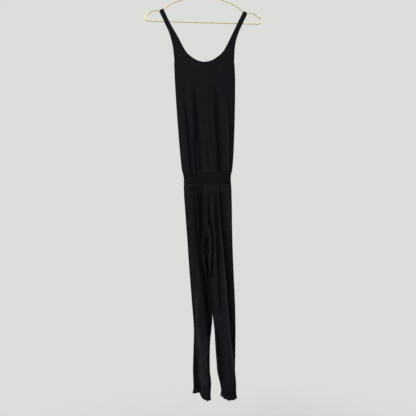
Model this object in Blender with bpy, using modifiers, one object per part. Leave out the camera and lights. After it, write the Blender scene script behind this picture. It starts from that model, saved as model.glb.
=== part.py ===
# A sleeveless knit jumpsuit with thin straps, hanging on a thin wire hanger.
# +X is to the right of the garment's front view, -Y is its front, +Z is up.
# The origin is the inner top of the hanger's hook, where a rail or nail carries it.

import math

import bmesh
import bpy
import numpy as np

# ---- driving sizes, in millimetres ----
MM = 0.001
CLOTH_WALL = 1.6
SEAM_GAP = 0.3
SEAM_TUCK = 1.5  # beside a seam each wall runs straight for this length, so two walls meet edge to edge
ROUNDNESS = 0.60  # exponent of the flattened oval sections; 1 is an ellipse
HANG_TILT = math.radians(1.35)  # the hanger's right end hangs low, and the cloth's rows follow it

WIRE_DIAMETER = 3.6
HOOK_INNER_RADIUS = 19.0
COIL_TURNS = 3.25
COIL_PITCH = 4.1
COIL_POINTS_A_TURN = 9
SHOULDER_NECK_SIDE = 146.4  # where a strap lies on the hanger's arm, from its middle
SHOULDER_ARM_SIDE = 160.8
SHOULDER_RADIUS = 3.95  # of the cloth's outer face over the wire
SHOULDER_FLAT_HALF = 1.3  # the cloth lies flat for this far from the shoulder seam
SHOULDER_TURNS = (48, 24, 0)  # then its rows follow the wire, in degrees from the level
ARM_EDGE_SHARE = 0.25  # of a strap's first column, kept for the narrow column along the armhole

UNDERARM = -336.0
NECK_CORNER = -328.0  # where the strap's inner edge turns into the scoop
UNDERARM_SPREAD = 0.6  # the side seam opens by this much to each side at the underarm
UNDERARM_SPREAD_LENGTH = 30.0
TYPICAL_BODICE = (104.0, 22.0)  # half width and depth of a section, by which its columns are spaced
TYPICAL_LEG_FRONT = (78.0, 25.0)  # the same of a leg's half of the body, and then of a closed leg
TYPICAL_LEG = (40.0, 23.0)
BAND_TOP = -759.5
BAND_BOTTOM = -795.5
CROTCH_START = -925.0
CROTCH_POINT = -1040.0
CUFF_TOP = -1530.0

# ---- numbers of faces ----
ANGLE_SAMPLES = 193  # of an oval's curve when its columns are spaced
SIDE_COLUMNS = 8
SCOOP_COLUMNS = 13
STRAP_ROWS = 10
LEG_COLUMNS = 15
BAND_COLUMNS = 40
CUFF_COLUMNS = 36
CUFF_ROWS = 3
# Shares of the way down each piece at which a row of faces starts, closer where the form changes faster.
BODICE_SHARES = (0.0, 0.05, 0.11, 0.18, 0.27, 0.37, 0.48, 0.59, 0.70, 0.80, 0.88, 0.945, 1.0)
LEG_HEIGHTS = (
    *(-808, -836, -880, -922, -950, -978, -1006, -1036, -1072, -1118, -1164),
    *(-1210, -1256, -1304, -1356, -1410, -1460, -1500),
)

# Hanger outline on one side: distance from the middle, height. The arm ends behind the notch and hump.
ARM = (
    # out, height
    (30, -102.5),
    (50, -109.5),
    (67, -115.6),
    (97, -126.2),
    (119, -136.0),
    (133, -145.0),
    (145, -155.4),
    (153, -159.8),
    (160, -163.3),
    (165, -164.2),
    (172, -161.2),
    (180, -161.6),
    (190, -166.0),
    (200, -172.4),
    (209, -179.6),
    (214.6, -187.4),
    (213.2, -195.4),
    (205, -200.2),
    (190, -200.8),
)
ARM_READ_ABOVE = -180.0  # below this height the arm turns back to the bottom rod
ROD_HEIGHT = -200.8
ROD_STATIONS = (-120.0, -40.0, 40.0, 120.0)
HOOK_TURN = (205, -41, -15)  # from the tip over the top, and the step, in degrees
STEM = (
    # x, height
    (8.6, -42.5),
    (2.0, -52.0),
    (0.0, -64.0),
    (0.0, -86.0),
    (-1.2, -91.6),
    (-6.0, -95.0),
    (-16.0, -98.2),
)
COIL_LEAD = (
    # x, y, height: from the right arm to the start of the coil
    (14.0, 1.8, -96.0),
    (6.0, 3.6, -91.5),
)
COIL_CLEARANCE = 0.1
COIL_START = -86.5

# Bodice sections: outer edges of the cloth, and how far front and back stand from the hanging plane.
BODICE = (
    # height, left, right, front, back
    (-336.0, -115.2, 105.1, 9.0, 8.0),
    (-360.0, -116.4, 106.6, 11.0, 10.0),
    (-400.0, -115.8, 107.5, 13.5, 12.0),
    (-460.0, -113.6, 106.1, 15.5, 13.5),
    (-520.0, -111.2, 103.9, 16.5, 14.5),
    (-600.0, -107.0, 100.0, 17.5, 15.5),
    (-680.0, -102.2, 95.2, 18.5, 16.5),
    (-720.0, -99.2, 91.4, 18.5, 16.5),
    (-745.0, -96.5, 88.0, 17.0, 15.0),
    (-759.5, -92.6, 84.1, 14.0, 12.5),
    (-777.0, -90.5, 82.6, 13.0, 11.5),
    (-795.5, -90.6, 83.4, 14.0, 12.5),
)

# Strap edges above the underarm, how far their arm edges stand from the hanging plane, and their crown.
STRAPS = (
    # height, left arm, left neck, right neck, right arm, apart, crown
    (-157.0, -164.6, -150.0, 142.6, 157.2, 3.95, 0.0),
    (-165.0, -164.4, -145.6, 138.2, 157.0, 3.95, 0.0),
    (-190.0, -152.6, -134.3, 126.0, 144.4, 4.4, 0.3),
    (-206.0, -146.1, -127.2, 118.4, 136.7, 4.8, 0.6),
    (-225.0, -137.4, -117.3, 108.7, 127.5, 5.3, 1.0),
    (-245.0, -129.6, -106.6, 98.6, 119.3, 5.7, 1.6),
    (-265.0, -124.0, -96.8, 88.9, 112.8, 5.8, 2.4),
    (-285.0, -119.7, -87.2, 78.0, 108.8, 5.3, 3.6),
    (-300.0, -117.4, -79.4, 69.4, 106.9, 4.5, 5.0),
    (-312.0, -116.7, -71.8, 60.0, 106.2, 3.6, 6.4),
    (-322.0, -115.8, -62.8, 49.6, 105.5, 2.8, 7.6),
    (-328.0, -115.4, -55.0, 41.6, 105.2, 2.2, 8.4),
    (-336.0, -115.2, -55.0, 41.6, 105.1, 1.6, 9.0),
)
SCOOP_FRONT = (-346.6, -6.0)  # lowest point of the neckline: height, x
SCOOP_BACK = (-352.0, -6.0)

# Trouser sections: outer edges, the inner edges of the two legs (one line where the legs touch),
# and how far front and back stand from the hanging plane.
TROUSERS = (
    # height, left outer, left inner, right inner, right outer, front, back
    (-795.5, -90.6, -5.0, -5.0, 83.4, 14.0, 12.5),
    (-803.0, -91.4, -6.0, -6.0, 84.0, 15.5, 14.0),
    (-830.0, -91.1, -8.5, -8.5, 84.2, 18.5, 16.5),
    (-880.0, -88.7, -12.5, -12.5, 84.2, 20.5, 18.5),
    (-940.0, -85.8, -15.0, -15.0, 83.6, 21.5, 19.5),
    (-1000.0, -82.5, -14.5, -14.5, 83.4, 22.0, 20.0),
    (-1060.0, -79.9, -13.0, -13.0, 84.0, 22.0, 20.0),
    (-1118.0, -77.1, -11.0, -11.0, 85.1, 21.5, 20.0),
    (-1160.0, -74.7, -7.6, -7.6, 86.1, 21.0, 19.5),
    (-1200.0, -72.4, -2.8, -2.8, 87.2, 20.5, 19.0),
    (-1245.0, -69.9, 2.0, 2.0, 88.0, 20.0, 18.5),
    (-1278.0, -67.8, 3.0, 4.4, 88.1, 19.0, 18.0),
    (-1330.0, -66.0, -2.6, 9.8, 87.6, 18.0, 17.0),
    (-1400.0, -69.0, -9.0, 12.4, 85.6, 17.0, 16.0),
    (-1450.0, -71.6, -10.4, 15.0, 83.4, 16.0, 15.0),
    (-1480.0, -73.0, -10.6, 16.4, 82.4, 15.5, 14.5),
    (-1510.0, -72.4, -7.6, 21.8, 84.2, 14.5, 13.5),
    (-1530.0, -72.2, -7.0, 26.4, 85.4, 13.5, 12.5),
    (-1550.0, -72.3, -8.8, 29.0, 85.0, 12.5, 12.0),
    (-1580.0, -72.0, -10.4, 31.0, 84.6, 13.0, 12.5),
    (-1600.0, -71.6, -10.8, 32.0, 84.2, 13.5, 13.0),
)

# Hem height across each cuff, from its outer edge to its inner edge.
HEM_LEFT = (
    # x, height
    (-74.0, -1560.0),
    (-62.0, -1558.6),
    (-54.0, -1559.0),
    (-45.0, -1566.0),
    (-36.0, -1578.0),
    (-27.0, -1584.5),
    (-9.0, -1586.0),
)
HEM_RIGHT = (
    # x, height
    (26.0, -1572.0),
    (34.0, -1579.5),
    (46.0, -1586.0),
    (64.0, -1588.0),
    (78.0, -1586.0),
    (87.0, -1578.0),
)
HEM_WAVES = 9
HEM_WAVE_OUT = 1.3
HEM_WAVE_DOWN = 1.0
HEM_WAVE_START = 4  # power of the way down a cuff by which its wave grows
CUFF_BEND_SHARE = 0.35  # share of a cuff's turn from its sides over which its folds start
CUFF_SIDE_STEEPNESS = 6.0  # how fast its wall leaves the hanging plane there

# Folds pushed into the cloth: the wall they are in (-1 front, +1 back), depth (negative stands out),
# half width to the left and to the right, fade length at the top and at the end, and their line downwards.
FOLDS = (
    # wall, depth, left, right, fade in, fade out, ((height, x), ...)
    (-1, -1.6, 6.0, 15.0, 60, 10, ((-348, -110.5), (-478, -109.1), (-652, -100.0), (-757, -90.8))),
    (-1, 5.4, 6.0, 7.0, 170, 14, ((-412, -82.2), (-565, -73.3), (-652, -67.6), (-757, -62.8))),
    (-1, 6.4, 9.0, 7.5, 170, 14, ((-383, -43.7), (-564, -39.1), (-652, -43.2), (-757, -40.5))),
    (-1, 5.4, 5.5, 7.0, 110, 14, ((-506, -36.5), (-651, -30.8), (-757, -25.6))),
    (-1, 8.2, 11.5, 8.5, 190, 14, ((-388, 30.8), (-476, 36.9), (-651, 44.6), (-756, 47.3))),
    (-1, -3.6, 6.0, 5.0, 160, 10, ((-446, 72.8), (-606, 75.8), (-756, 79.7))),
    (1, 7.5, 6.5, 6.0, 140, 12, ((-410, -74.0), (-540, -68.0), (-650, -60.0), (-760, -52.0))),
    (1, 9.0, 7.0, 7.0, 160, 12, ((-395, -20.0), (-520, -16.0), (-640, -12.5), (-760, -6.0))),
    (1, 8.0, 6.5, 6.5, 140, 12, ((-430, 53.0), (-560, 50.5), (-680, 49.0), (-760, 46.0))),
    (1, 4.0, 6.0, 6.0, 90, 12, ((-560, 20.0), (-660, 21.0), (-760, 19.0))),
    (-1, -1.6, 6.0, 13.0, 4, 90, ((-797, -88.0), (-949, -82.1), (-1124, -73.7), (-1218, -67.1))),
    (-1, 7.0, 28.0, 11.0, 6, 70, ((-797, -29.8), (-862, -26.1), (-950, -27.0), (-1059, -32.4))),
    (-1, 9.0, 12.5, 6.0, 80, 70, ((-797, -26.5), (-950, -25.2), (-1037, -30.8), (-1124, -23.3),
                                  (-1212, -11.4), (-1292, -4.5), (-1386, -4.5))),
    (-1, -3.4, 4.5, 4.5, 16, 26, ((-942, -17.0), (-1037, -29.4), (-1081, -25.3), (-1161, -12.5))),
    (-1, 5.0, 4.5, 4.5, 16, 18, ((-986, -12.3), (-1037, -15.5), (-1110, -12.8), (-1139, -9.8))),
    (-1, -3.0, 4.5, 4.0, 16, 26, ((-950, -4.0), (-1015, 4.5), (-1081, -0.7), (-1141, -3.7))),
    (-1, 5.5, 14.0, 12.0, 60, 90, ((-1088, -18.0), (-1168, -7.6), (-1256, -4.0), (-1330, 1.5))),
    (-1, 7.5, 5.0, 6.0, 60, 60, ((-804, -2.1), (-906, -0.8), (-993, 9.6), (-1081, 5.1), (-1183, 3.9))),
    (-1, 5.6, 6.0, 6.5, 50, 110, ((-797, 25.9), (-950, 27.1), (-1125, 29.7), (-1311, 33.9))),
    (-1, 10.0, 4.5, 14.0, 24, 90, ((-789, 38.5), (-862, 43.4), (-1037, 53.4), (-1213, 63.4), (-1439, 79.5))),
    (-1, -5.0, 5.5, 4.5, 230, 60, ((-840, 33.7), (-1037, 46.0), (-1212, 57.5), (-1424, 73.8), (-1505, 77.0))),
    (-1, -4.0, 7.0, 5.0, 14, 60, ((-789, 79.3), (-862, 78.4), (-1019, 80.3))),
    (-1, -7.0, 5.5, 11.0, 110, 1, ((-1146, -54.5), (-1335, -50.8), (-1466, -43.9), (-1597, -34.8))),
    (-1, 8.0, 6.5, 5.5, 90, 1, ((-1313, -66.3), (-1422, -61.5), (-1502, -56.0), (-1596, -44.3))),
    (-1, 4.5, 7.0, 6.0, 30, 1, ((-1480, -65.7), (-1538, -59.8), (-1596, -57.5))),
    (-1, -4.0, 6.0, 12.0, 30, 60, ((-1263, 5.7), (-1336, 14.3), (-1423, 18.2), (-1548, 32.9))),
    (-1, 6.0, 10.0, 11.0, 50, 40, ((-1292, 17.9), (-1424, 34.3), (-1504, 40.5), (-1548, 42.5))),
    (1, 8.0, 8.0, 8.0, 30, 70, ((-797, -52.0), (-980, -46.0), (-1140, -43.0), (-1300, -40.0))),
    (1, 8.5, 6.5, 7.0, 40, 60, ((-800, -8.0), (-930, 0.0), (-1070, -4.0))),
    (1, 8.0, 7.5, 7.0, 24, 80, ((-797, 44.0), (-1080, 46.0), (-1250, 51.0), (-1440, 58.0))),
    (1, 4.5, 6.0, 6.0, 30, 90, ((-800, 20.0), (-900, 22.5), (-1060, 24.0), (-1220, 27.0))),
    (1, 6.0, 7.0, 7.0, 80, 60, ((-1160, -18.0), (-1330, -26.0), (-1520, -34.0))),
    (1, 5.0, 6.5, 6.5, 80, 60, ((-1130, 20.0), (-1300, 34.0), (-1480, 42.0))),
)
FOLD_SIDE_SHARE = 0.3  # share of a section's turn from its side over which its folds start
FOLD_SEAM_COLUMNS = 2  # the same of a leg panel, in columns

COLLECTION_NAME = "Jumpsuit_on_hanger"
BLACK_KNIT = ((0.012, 0.012, 0.014), 0.85, 0.0)
BLACK_RIB = ((0.011, 0.011, 0.013), 0.88, 0.0)
GOLD_WIRE = ((0.83, 0.66, 0.32), 0.28, 1.0)


# ---- reading the tables ----
def read_table(table, where, column, key=0):
    """Value of one column at a place between the rows, on a smooth curve that doesn't overshoot."""
    rows = sorted(table, key=lambda row: row[key])
    place = [row[key] for row in rows]
    value = [row[column] for row in rows]
    if where <= place[0]:
        return value[0]
    if where >= place[-1]:
        return value[-1]
    i = max(n for n in range(len(place) - 1) if place[n] <= where)
    steps = [(value[n + 1] - value[n]) / (place[n + 1] - place[n]) for n in range(len(place) - 1)]

    def slope(n):
        if n == 0 or n == len(place) - 1:
            return steps[min(n, len(steps) - 1)]
        before, after = steps[n - 1], steps[n]
        return 0.0 if before * after <= 0 else 2 * before * after / (before + after)

    span = place[i + 1] - place[i]
    t = (where - place[i]) / span
    return (
        value[i] * (1 + 2 * t) * (1 - t) ** 2
        + slope(i) * span * t * (1 - t) ** 2
        + value[i + 1] * t * t * (3 - 2 * t)
        + slope(i + 1) * span * t * t * (t - 1)
    )


def ease(t):
    """Smooth step from 0 to 1."""
    t = min(max(t, 0.0), 1.0)
    return t * t * (3 - 2 * t)


def mix(a, b, t):
    return a + (b - a) * t


def fold_depth(wall, x, z):
    """How far the folds of one wall push it towards the hanging plane."""
    total = 0.0
    for side, depth, left, right, fade_in, fade_out, line in FOLDS:
        top, bottom = line[0][0], line[-1][0]
        if side != wall or not bottom < z < top:
            continue
        away = x - read_table(line, z, 1)
        strength = ease((top - z) / fade_in) * ease((z - bottom) / fade_out)
        total += depth * strength * math.exp(-((away / (left if away < 0 else right)) ** 2))
    return total


def folded(y, fold):
    """Distance of a wall from the hanging plane, where a fold takes it no nearer than the cloth allows."""
    return max(y - fold, min(y, CLOTH_WALL + SEAM_TUCK))


def rounded(value):
    """Signed power that flattens an ellipse into the section of hanging cloth."""
    return math.copysign(abs(value) ** ROUNDNESS, value)


def tilted(x, y, z):
    """Point in metres, with the row it lies on tilted as the hanger is."""
    return (x * MM, y * MM, (z - math.tan(HANG_TILT) * x) * MM)


# ---- making objects ----
def new_material(name, look):
    colour, roughness, metallic = look
    material = bpy.data.materials.new(name)
    material.use_nodes = True
    shader = material.node_tree.nodes["Principled BSDF"]
    shader.inputs["Base Color"].default_value = (*colour, 1.0)
    shader.inputs["Roughness"].default_value = roughness
    shader.inputs["Metallic"].default_value = metallic
    return material


def cloth_object(name, sheets, material, parent, closed=False, back=False):
    """Sheets of points, rows from top to bottom and columns to the right, as one wall of cloth.
    Sheets share the points where they meet. Closed joins each row's end to its start."""
    mesh = bmesh.new()
    known = {}

    def vertex(point):
        key = tuple(round(c * 1e6) for c in point)
        if key not in known:
            known[key] = mesh.verts.new(point)
        return known[key]

    for rows in sheets:
        grid = [[vertex(tilted(*p)) for p in row] for row in rows]
        columns = len(grid[0]) if closed else len(grid[0]) - 1
        for upper, lower in zip(grid, grid[1:]):
            for c in range(columns):
                n = (c + 1) % len(upper)
                corners = [upper[c], lower[c], lower[n], upper[n]]
                mesh.faces.new(corners[::-1] if back else corners)
    data = bpy.data.meshes.new(name)
    mesh.to_mesh(data)
    mesh.free()
    data.shade_smooth()
    data.set_sharp_from_angle(angle=math.radians(60))
    data.materials.append(material)
    piece = bpy.data.objects.new(name, data)
    parent.objects.link(piece)
    wall = piece.modifiers.new("Cloth wall", "SOLIDIFY")
    wall.thickness = CLOTH_WALL * MM
    wall.offset = -1.0
    return piece


# ---- hanger ----
def smooth_route(points, steps):
    """Catmull-Rom curve through a list of points."""
    route = []
    padded = [2 * points[0] - points[1]] + list(points) + [2 * points[-1] - points[-2]]
    for a, b, c, d in zip(padded, padded[1:], padded[2:], padded[3:]):
        for s in range(steps):
            t = s / steps
            bend = (2 * a - 5 * b + 4 * c - d) * t**2 + (3 * b - a - 3 * c + d) * t**3
            route.append(0.5 * (2 * b + (c - a) * t + bend))
    route.append(points[-1])
    return route


def arm_route():
    """One side of the hanger from the arm's start to the bottom rod, as (distance out, height)."""
    return smooth_route([np.array(p, float) for p in ARM], 2)


def wire_height(out):
    """Height of the wire's centre line on the arm, before the hanger's tilt."""
    arm = [p for p in arm_route() if p[1] > ARM_READ_ABOVE]
    return float(np.interp(out, [p[0] for p in arm], [p[1] for p in arm]))


def hanger_route():
    """The wire from the hook's tip to the end of the coil that closes the frame at its neck."""
    radius = HOOK_INNER_RADIUS + WIRE_DIAMETER / 2
    hook = []
    for degrees in range(*HOOK_TURN):
        turn = math.radians(degrees)
        hook.append(np.array((radius * math.cos(turn), 0, -HOOK_INNER_RADIUS + radius * math.sin(turn))))
    route = hook + smooth_route([np.array((x, 0, height)) for x, height in STEM], 2)
    arm = arm_route()
    route += [np.array((-out, 0, height)) for out, height in arm]
    route += [np.array((x, 0, ROD_HEIGHT)) for x in ROD_STATIONS]
    route += [np.array((out, 0, height)) for out, height in reversed(arm)]
    route += [np.array(point) for point in COIL_LEAD]
    coil = WIRE_DIAMETER + SEAM_GAP + COIL_CLEARANCE
    for step in range(round(COIL_TURNS * COIL_POINTS_A_TURN) + 1):
        turn = math.pi / 2 + math.tau * step / COIL_POINTS_A_TURN
        rise = COIL_PITCH * step / COIL_POINTS_A_TURN
        route.append(np.array((coil * math.cos(turn), coil * math.sin(turn), COIL_START + rise)))
    return route


def make_hanger(material, parent):
    curve = bpy.data.curves.new("hanger", "CURVE")
    curve.dimensions = "3D"
    curve.bevel_depth = WIRE_DIAMETER / 2 * MM
    curve.bevel_resolution = 2
    curve.use_fill_caps = True
    spline = curve.splines.new("POLY")
    route = hanger_route()
    spline.points.add(len(route) - 1)
    for point, place in zip(spline.points, route):
        point.co = (*[float(c) * MM for c in place], 1.0)
    curve.materials.append(material)
    hanger = bpy.data.objects.new("hanger", curve)
    hanger.rotation_euler = (0, HANG_TILT, 0)
    parent.objects.link(hanger)


# ---- bodice ----
def body_section(table, z, side_angle, wall):
    """Point of a whole body section. The angle runs from 0 at the left side seam to pi at the right one."""
    left, right = read_table(table, z, 1), read_table(table, z, 2)
    depth = read_table(table, z, 3 if wall < 0 else 4)
    x = (left + right) / 2 - (right - left) / 2 * rounded(math.cos(side_angle))
    fold = fold_depth(wall, x, z) * ease(math.sin(side_angle) / FOLD_SIDE_SHARE)
    return x, wall * folded(SEAM_TUCK + depth * rounded(math.sin(side_angle)), fold)


def even_angles(start, end, count, half_width, depth):
    """Angles that divide an oval section's curve into stretches of the same length."""
    fine = np.linspace(start, end, ANGLE_SAMPLES)
    places = [(half_width * rounded(math.cos(a)), depth * rounded(math.sin(a))) for a in fine]
    steps = [math.dist(p, q) for p, q in zip(places, places[1:])]
    length = np.concatenate(([0.0], np.cumsum(steps)))
    return [float(a) for a in np.interp(np.linspace(0, length[-1], count + 1), length, fine)]


def section_angle(table, z, x):
    """Angle at which a body section reaches a given x."""
    left, right = read_table(table, z, 1), read_table(table, z, 2)
    share = ((left + right) / 2 - x) / ((right - left) / 2)
    return math.acos(math.copysign(abs(share) ** (1 / ROUNDNESS), share))


def scoop_height(x, scoop):
    """Height of the neckline's bottom arc."""
    lowest, middle = scoop
    left, right = read_table(STRAPS, NECK_CORNER, 2), read_table(STRAPS, NECK_CORNER, 3)
    share = (x - middle) / ((left if x < middle else right) - middle)
    return mix(lowest, NECK_CORNER, share**2)


def bodice_columns():
    """Section angles of the bodice's columns, from the left side seam to the right one."""
    left = section_angle(BODICE, NECK_CORNER, read_table(STRAPS, NECK_CORNER, 2))
    right = section_angle(BODICE, NECK_CORNER, read_table(STRAPS, NECK_CORNER, 3))
    first = even_angles(0, left, SIDE_COLUMNS, *TYPICAL_BODICE)
    middle = even_angles(left, right, SCOOP_COLUMNS, *TYPICAL_BODICE)
    last = even_angles(right, math.pi, SIDE_COLUMNS, *TYPICAL_BODICE)
    return first + middle[1:-1] + last


def bodice_body(wall, scoop):
    """Rows of the bodice below the straps."""
    angles = bodice_columns()
    last = len(angles) - 1
    bottom = BAND_TOP + SEAM_GAP / 2
    rows = []
    for share in BODICE_SHARES:
        row = []
        for c, angle in enumerate(angles):
            x, _ = body_section(BODICE, UNDERARM, angle, wall)
            if c < SIDE_COLUMNS:
                top = mix(UNDERARM, NECK_CORNER, c / SIDE_COLUMNS)
            elif c > last - SIDE_COLUMNS:
                top = mix(UNDERARM, NECK_CORNER, (last - c) / SIDE_COLUMNS)
            else:
                top = scoop_height(x, scoop)
            z = mix(top, bottom + SEAM_TUCK, share)
            x, y = body_section(BODICE, z, angle, wall)
            row.append((x, y, z))
        rows.append(with_side_tucks(row, wall))
    rows.append([(x, y, z - SEAM_TUCK) for x, y, z in rows[-1]])
    return rows


def with_side_tucks(row, wall):
    """A row with its two ends carried straight to the side seams."""
    first, last = row[0], row[-1]
    spread = UNDERARM_SPREAD * ease((first[2] - UNDERARM) / UNDERARM_SPREAD_LENGTH + 1)
    edge = wall * (SEAM_GAP / 2 + spread)
    return [(first[0], edge, first[2]), *row, (last[0], edge, last[2])]


def strap_rows(side, wall, first_row):
    """Rows of one strap from the shoulder seam down to the bodice's first row, columns to the right."""
    arm_column, neck_column = (1, 2) if side < 0 else (4, 3)
    top_out = (SHOULDER_ARM_SIDE, SHOULDER_NECK_SIDE)
    shift = math.sin(HANG_TILT)
    seat = []
    for out in top_out:
        height = wire_height(out)
        seat.append((side * out + height * shift, height))
    shares = np.linspace(0, 1, SIDE_COLUMNS + 1)
    rise = (seat[1][0] - seat[0][0], seat[1][1] - seat[0][1])
    length = math.hypot(*rise)
    up = (rise[1] / length * side, -rise[0] / length * side)
    flat_height = math.sqrt(SHOULDER_RADIUS**2 - SHOULDER_FLAT_HALF**2)
    over = [(SEAM_GAP / 2, flat_height), (SHOULDER_FLAT_HALF, flat_height)]
    for degrees in SHOULDER_TURNS:
        turn = math.radians(degrees)
        over.append((SHOULDER_RADIUS * math.cos(turn), SHOULDER_RADIUS * math.sin(turn)))
    rows = []
    for apart, high in over:
        row = []
        for share in shares:
            out = mix(*top_out, share)
            height = wire_height(out)
            x = side * out + height * shift
            row.append((x + up[0] * high, wall * apart, height + up[1] * high))
        rows.append(row)
    for step in range(1, STRAP_ROWS):
        down = step / STRAP_ROWS
        z_arm = mix(seat[0][1], UNDERARM, down)
        z_neck = mix(seat[1][1], NECK_CORNER, down)
        x_arm = read_table(STRAPS, z_arm, arm_column)
        x_neck = read_table(STRAPS, z_neck, neck_column)
        row = []
        for share in shares:
            x, z = mix(x_arm, x_neck, share), mix(z_arm, z_neck, share)
            middle = (read_table(STRAPS, z, 1) + read_table(STRAPS, z, 4)) / 2
            reach = abs(read_table(STRAPS, z, arm_column) - middle)
            across = min(abs(x - middle) / reach, 1.0)
            crown = rounded(math.sin(math.acos(across ** (1 / ROUNDNESS))))
            y = read_table(STRAPS, z, 5) + read_table(STRAPS, z, 6) * crown
            row.append((x, wall * y, z))
        rows.append(row)
    if side > 0:
        rows = [row[::-1] for row in rows]
    rows = [with_arm_edge(row, side) for row in rows]
    cut = SIDE_COLUMNS + 2
    rows.append(first_row[:cut] if side < 0 else first_row[-cut:])
    return rows


def with_arm_edge(row, side):
    """Adds the narrow column along the armhole that runs into the side seam's straight stretch."""
    edge, inner = (row[0], row[1]) if side < 0 else (row[-1], row[-2])
    extra = tuple(mix(a, b, ARM_EDGE_SHARE) for a, b in zip(edge, inner))
    return [edge, extra, *row[1:]] if side < 0 else [*row[:-1], extra, edge]


def make_bodice(material, parent):
    for name, wall, scoop in (("bodice_front", -1, SCOOP_FRONT), ("bodice_back", 1, SCOOP_BACK)):
        body = bodice_body(wall, scoop)
        straps = [strap_rows(side, wall, body[0]) for side in (-1, 1)]
        cloth_object(name, [body, *straps], material, parent, back=wall > 0)


# ---- waistband ----
def make_waistband(material, parent):
    top, bottom = BAND_TOP - SEAM_GAP / 2, BAND_BOTTOM + SEAM_GAP / 2
    heights = [top, top - SEAM_TUCK, bottom + SEAM_TUCK, bottom]
    rows = []
    for z in heights:
        level = min(max(z, bottom + SEAM_TUCK), top - SEAM_TUCK)
        rows.append(ring_points(lambda angle, wall: body_section(BODICE, level, angle, wall), z))
    cloth_object("waistband", [rows], material, parent, closed=True)


def ring_points(section, z):
    """A closed row of the waistband: along the front to the right, then back to the left."""
    half = BAND_COLUMNS // 2
    front = [section(math.pi * n / half, -1) for n in range(half + 1)]
    back = [section(math.pi * n / half, 1) for n in range(half, -1, -1)]
    return [(x, y, z) for x, y in front + back]


# ---- trousers ----
def oval(middle, reach, depth, angle):
    """Point of an oval section as x and distance from the hanging plane. At angle 0, x is middle + reach."""
    return middle + reach * rounded(math.cos(angle)), SEAM_TUCK + depth * rounded(math.sin(angle))


def leg_section(side, wall, z):
    """Points of a leg panel's section, from its side seam to its inseam or centre seam.
    Above the crotch a leg's half of the body ends at the centre seam, below it the section closes."""
    outer_column, inner_column = (1, 2) if side < 0 else (4, 3)
    outer = read_table(TROUSERS, z, outer_column)
    inner = read_table(TROUSERS, z, inner_column) + side * SEAM_GAP / 2
    depth = read_table(TROUSERS, z, 5 if wall < 0 else 6)
    closing = ease((CROTCH_START - z) / (CROTCH_START - CROTCH_POINT))
    half_angles = even_angles(0, math.pi / 2, LEG_COLUMNS, *TYPICAL_LEG_FRONT)
    whole_angles = even_angles(0, math.pi, LEG_COLUMNS, *TYPICAL_LEG)
    points = []
    for half_angle, whole_angle in zip(half_angles, whole_angles):
        half = oval(inner, outer - inner, depth, half_angle)
        whole = oval((outer + inner) / 2, (outer - inner) / 2, depth, whole_angle)
        points.append((mix(half[0], whole[0], closing), mix(half[1], whole[1], closing)))
    return points, closing


def leg_row(side, wall, z):
    """One row of a leg panel from its side seam to its inner edge."""
    points, closing = leg_section(side, wall, z)
    row = []
    for c, (x, y) in enumerate(points):
        from_edge = min(c, LEG_COLUMNS - c * closing) / FOLD_SEAM_COLUMNS
        y = folded(y, fold_depth(wall, x, z) * ease(from_edge))
        row.append((x, wall * y, z))
    side_edge = (row[0][0], wall * SEAM_GAP / 2, z)
    x, y, _ = row[-1]
    inner_edge = (x, wall * mix(abs(y), SEAM_GAP / 2, closing), z)
    row[-1] = (x + side * SEAM_TUCK * (1 - closing), y, z)
    return [side_edge, *row, inner_edge]


def leg_rows(side, wall):
    top = BAND_BOTTOM - SEAM_GAP / 2
    bottom = CUFF_TOP + SEAM_GAP / 2
    rows = [leg_row(side, wall, z) for z in (top - SEAM_TUCK, *LEG_HEIGHTS, bottom + SEAM_TUCK)]
    rows.insert(0, [(x, y, top) for x, y, _ in rows[0]])
    rows.append([(x, y, bottom) for x, y, _ in rows[-1]])
    return rows if side < 0 else [row[::-1] for row in rows]


def make_trousers(material, parent):
    for side, side_name in ((-1, "left"), (1, "right")):
        for wall, wall_name in ((-1, "front"), (1, "back")):
            name = f"leg_{side_name}_{wall_name}"
            cloth_object(name, [leg_rows(side, wall)], material, parent, back=wall > 0)


# ---- cuffs ----
def cuff_section(side, z, angle, wall):
    """Point of a cuff's ring. The angle runs from 0 at its left edge to pi at its right one."""
    outer_column, inner_column = (1, 2) if side < 0 else (3, 4)
    left, right = read_table(TROUSERS, z, outer_column), read_table(TROUSERS, z, inner_column)
    depth = read_table(TROUSERS, z, 5 if wall < 0 else 6)
    x = (left + right) / 2 - (right - left) / 2 * rounded(math.cos(angle))
    straight = SEAM_TUCK * min(1.0, math.sin(angle) * CUFF_SIDE_STEEPNESS)
    fold = fold_depth(wall, x, z) * ease(math.sin(angle) / CUFF_BEND_SHARE)
    return x, wall * folded(straight + depth * rounded(math.sin(angle)), fold)


def cuff_rows(side, hem):
    top = CUFF_TOP - SEAM_GAP / 2
    half = CUFF_COLUMNS // 2
    ring = [(math.pi * n / half, -1) for n in range(half + 1)]
    ring += [(math.pi * n / half, 1) for n in range(half - 1, 0, -1)]
    rows = []
    for share in np.linspace(0, 1, CUFF_ROWS + 1):
        row = []
        growth = share**HEM_WAVE_START
        for n, (angle, wall) in enumerate(ring):
            x, y = cuff_section(side, top - SEAM_TUCK, angle, wall)
            low = read_table(hem, x, 1)
            turn = math.tau * HEM_WAVES * n / len(ring)
            z = mix(top - SEAM_TUCK, low, share) - HEM_WAVE_DOWN * math.sin(turn) * growth
            x, y = cuff_section(side, z, angle, wall)
            out = HEM_WAVE_OUT * math.cos(turn) * growth
            row.append((x - math.cos(angle) * out, y + wall * math.sin(angle) * out, z))
        rows.append(row)
    rows.insert(0, [(x, y, top) for x, y, _ in rows[0]])
    return rows


def make_cuffs(material, parent):
    for name, side, hem in (("cuff_left", -1, HEM_LEFT), ("cuff_right", 1, HEM_RIGHT)):
        cloth_object(name, [cuff_rows(side, hem)], material, parent, closed=True)


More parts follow.
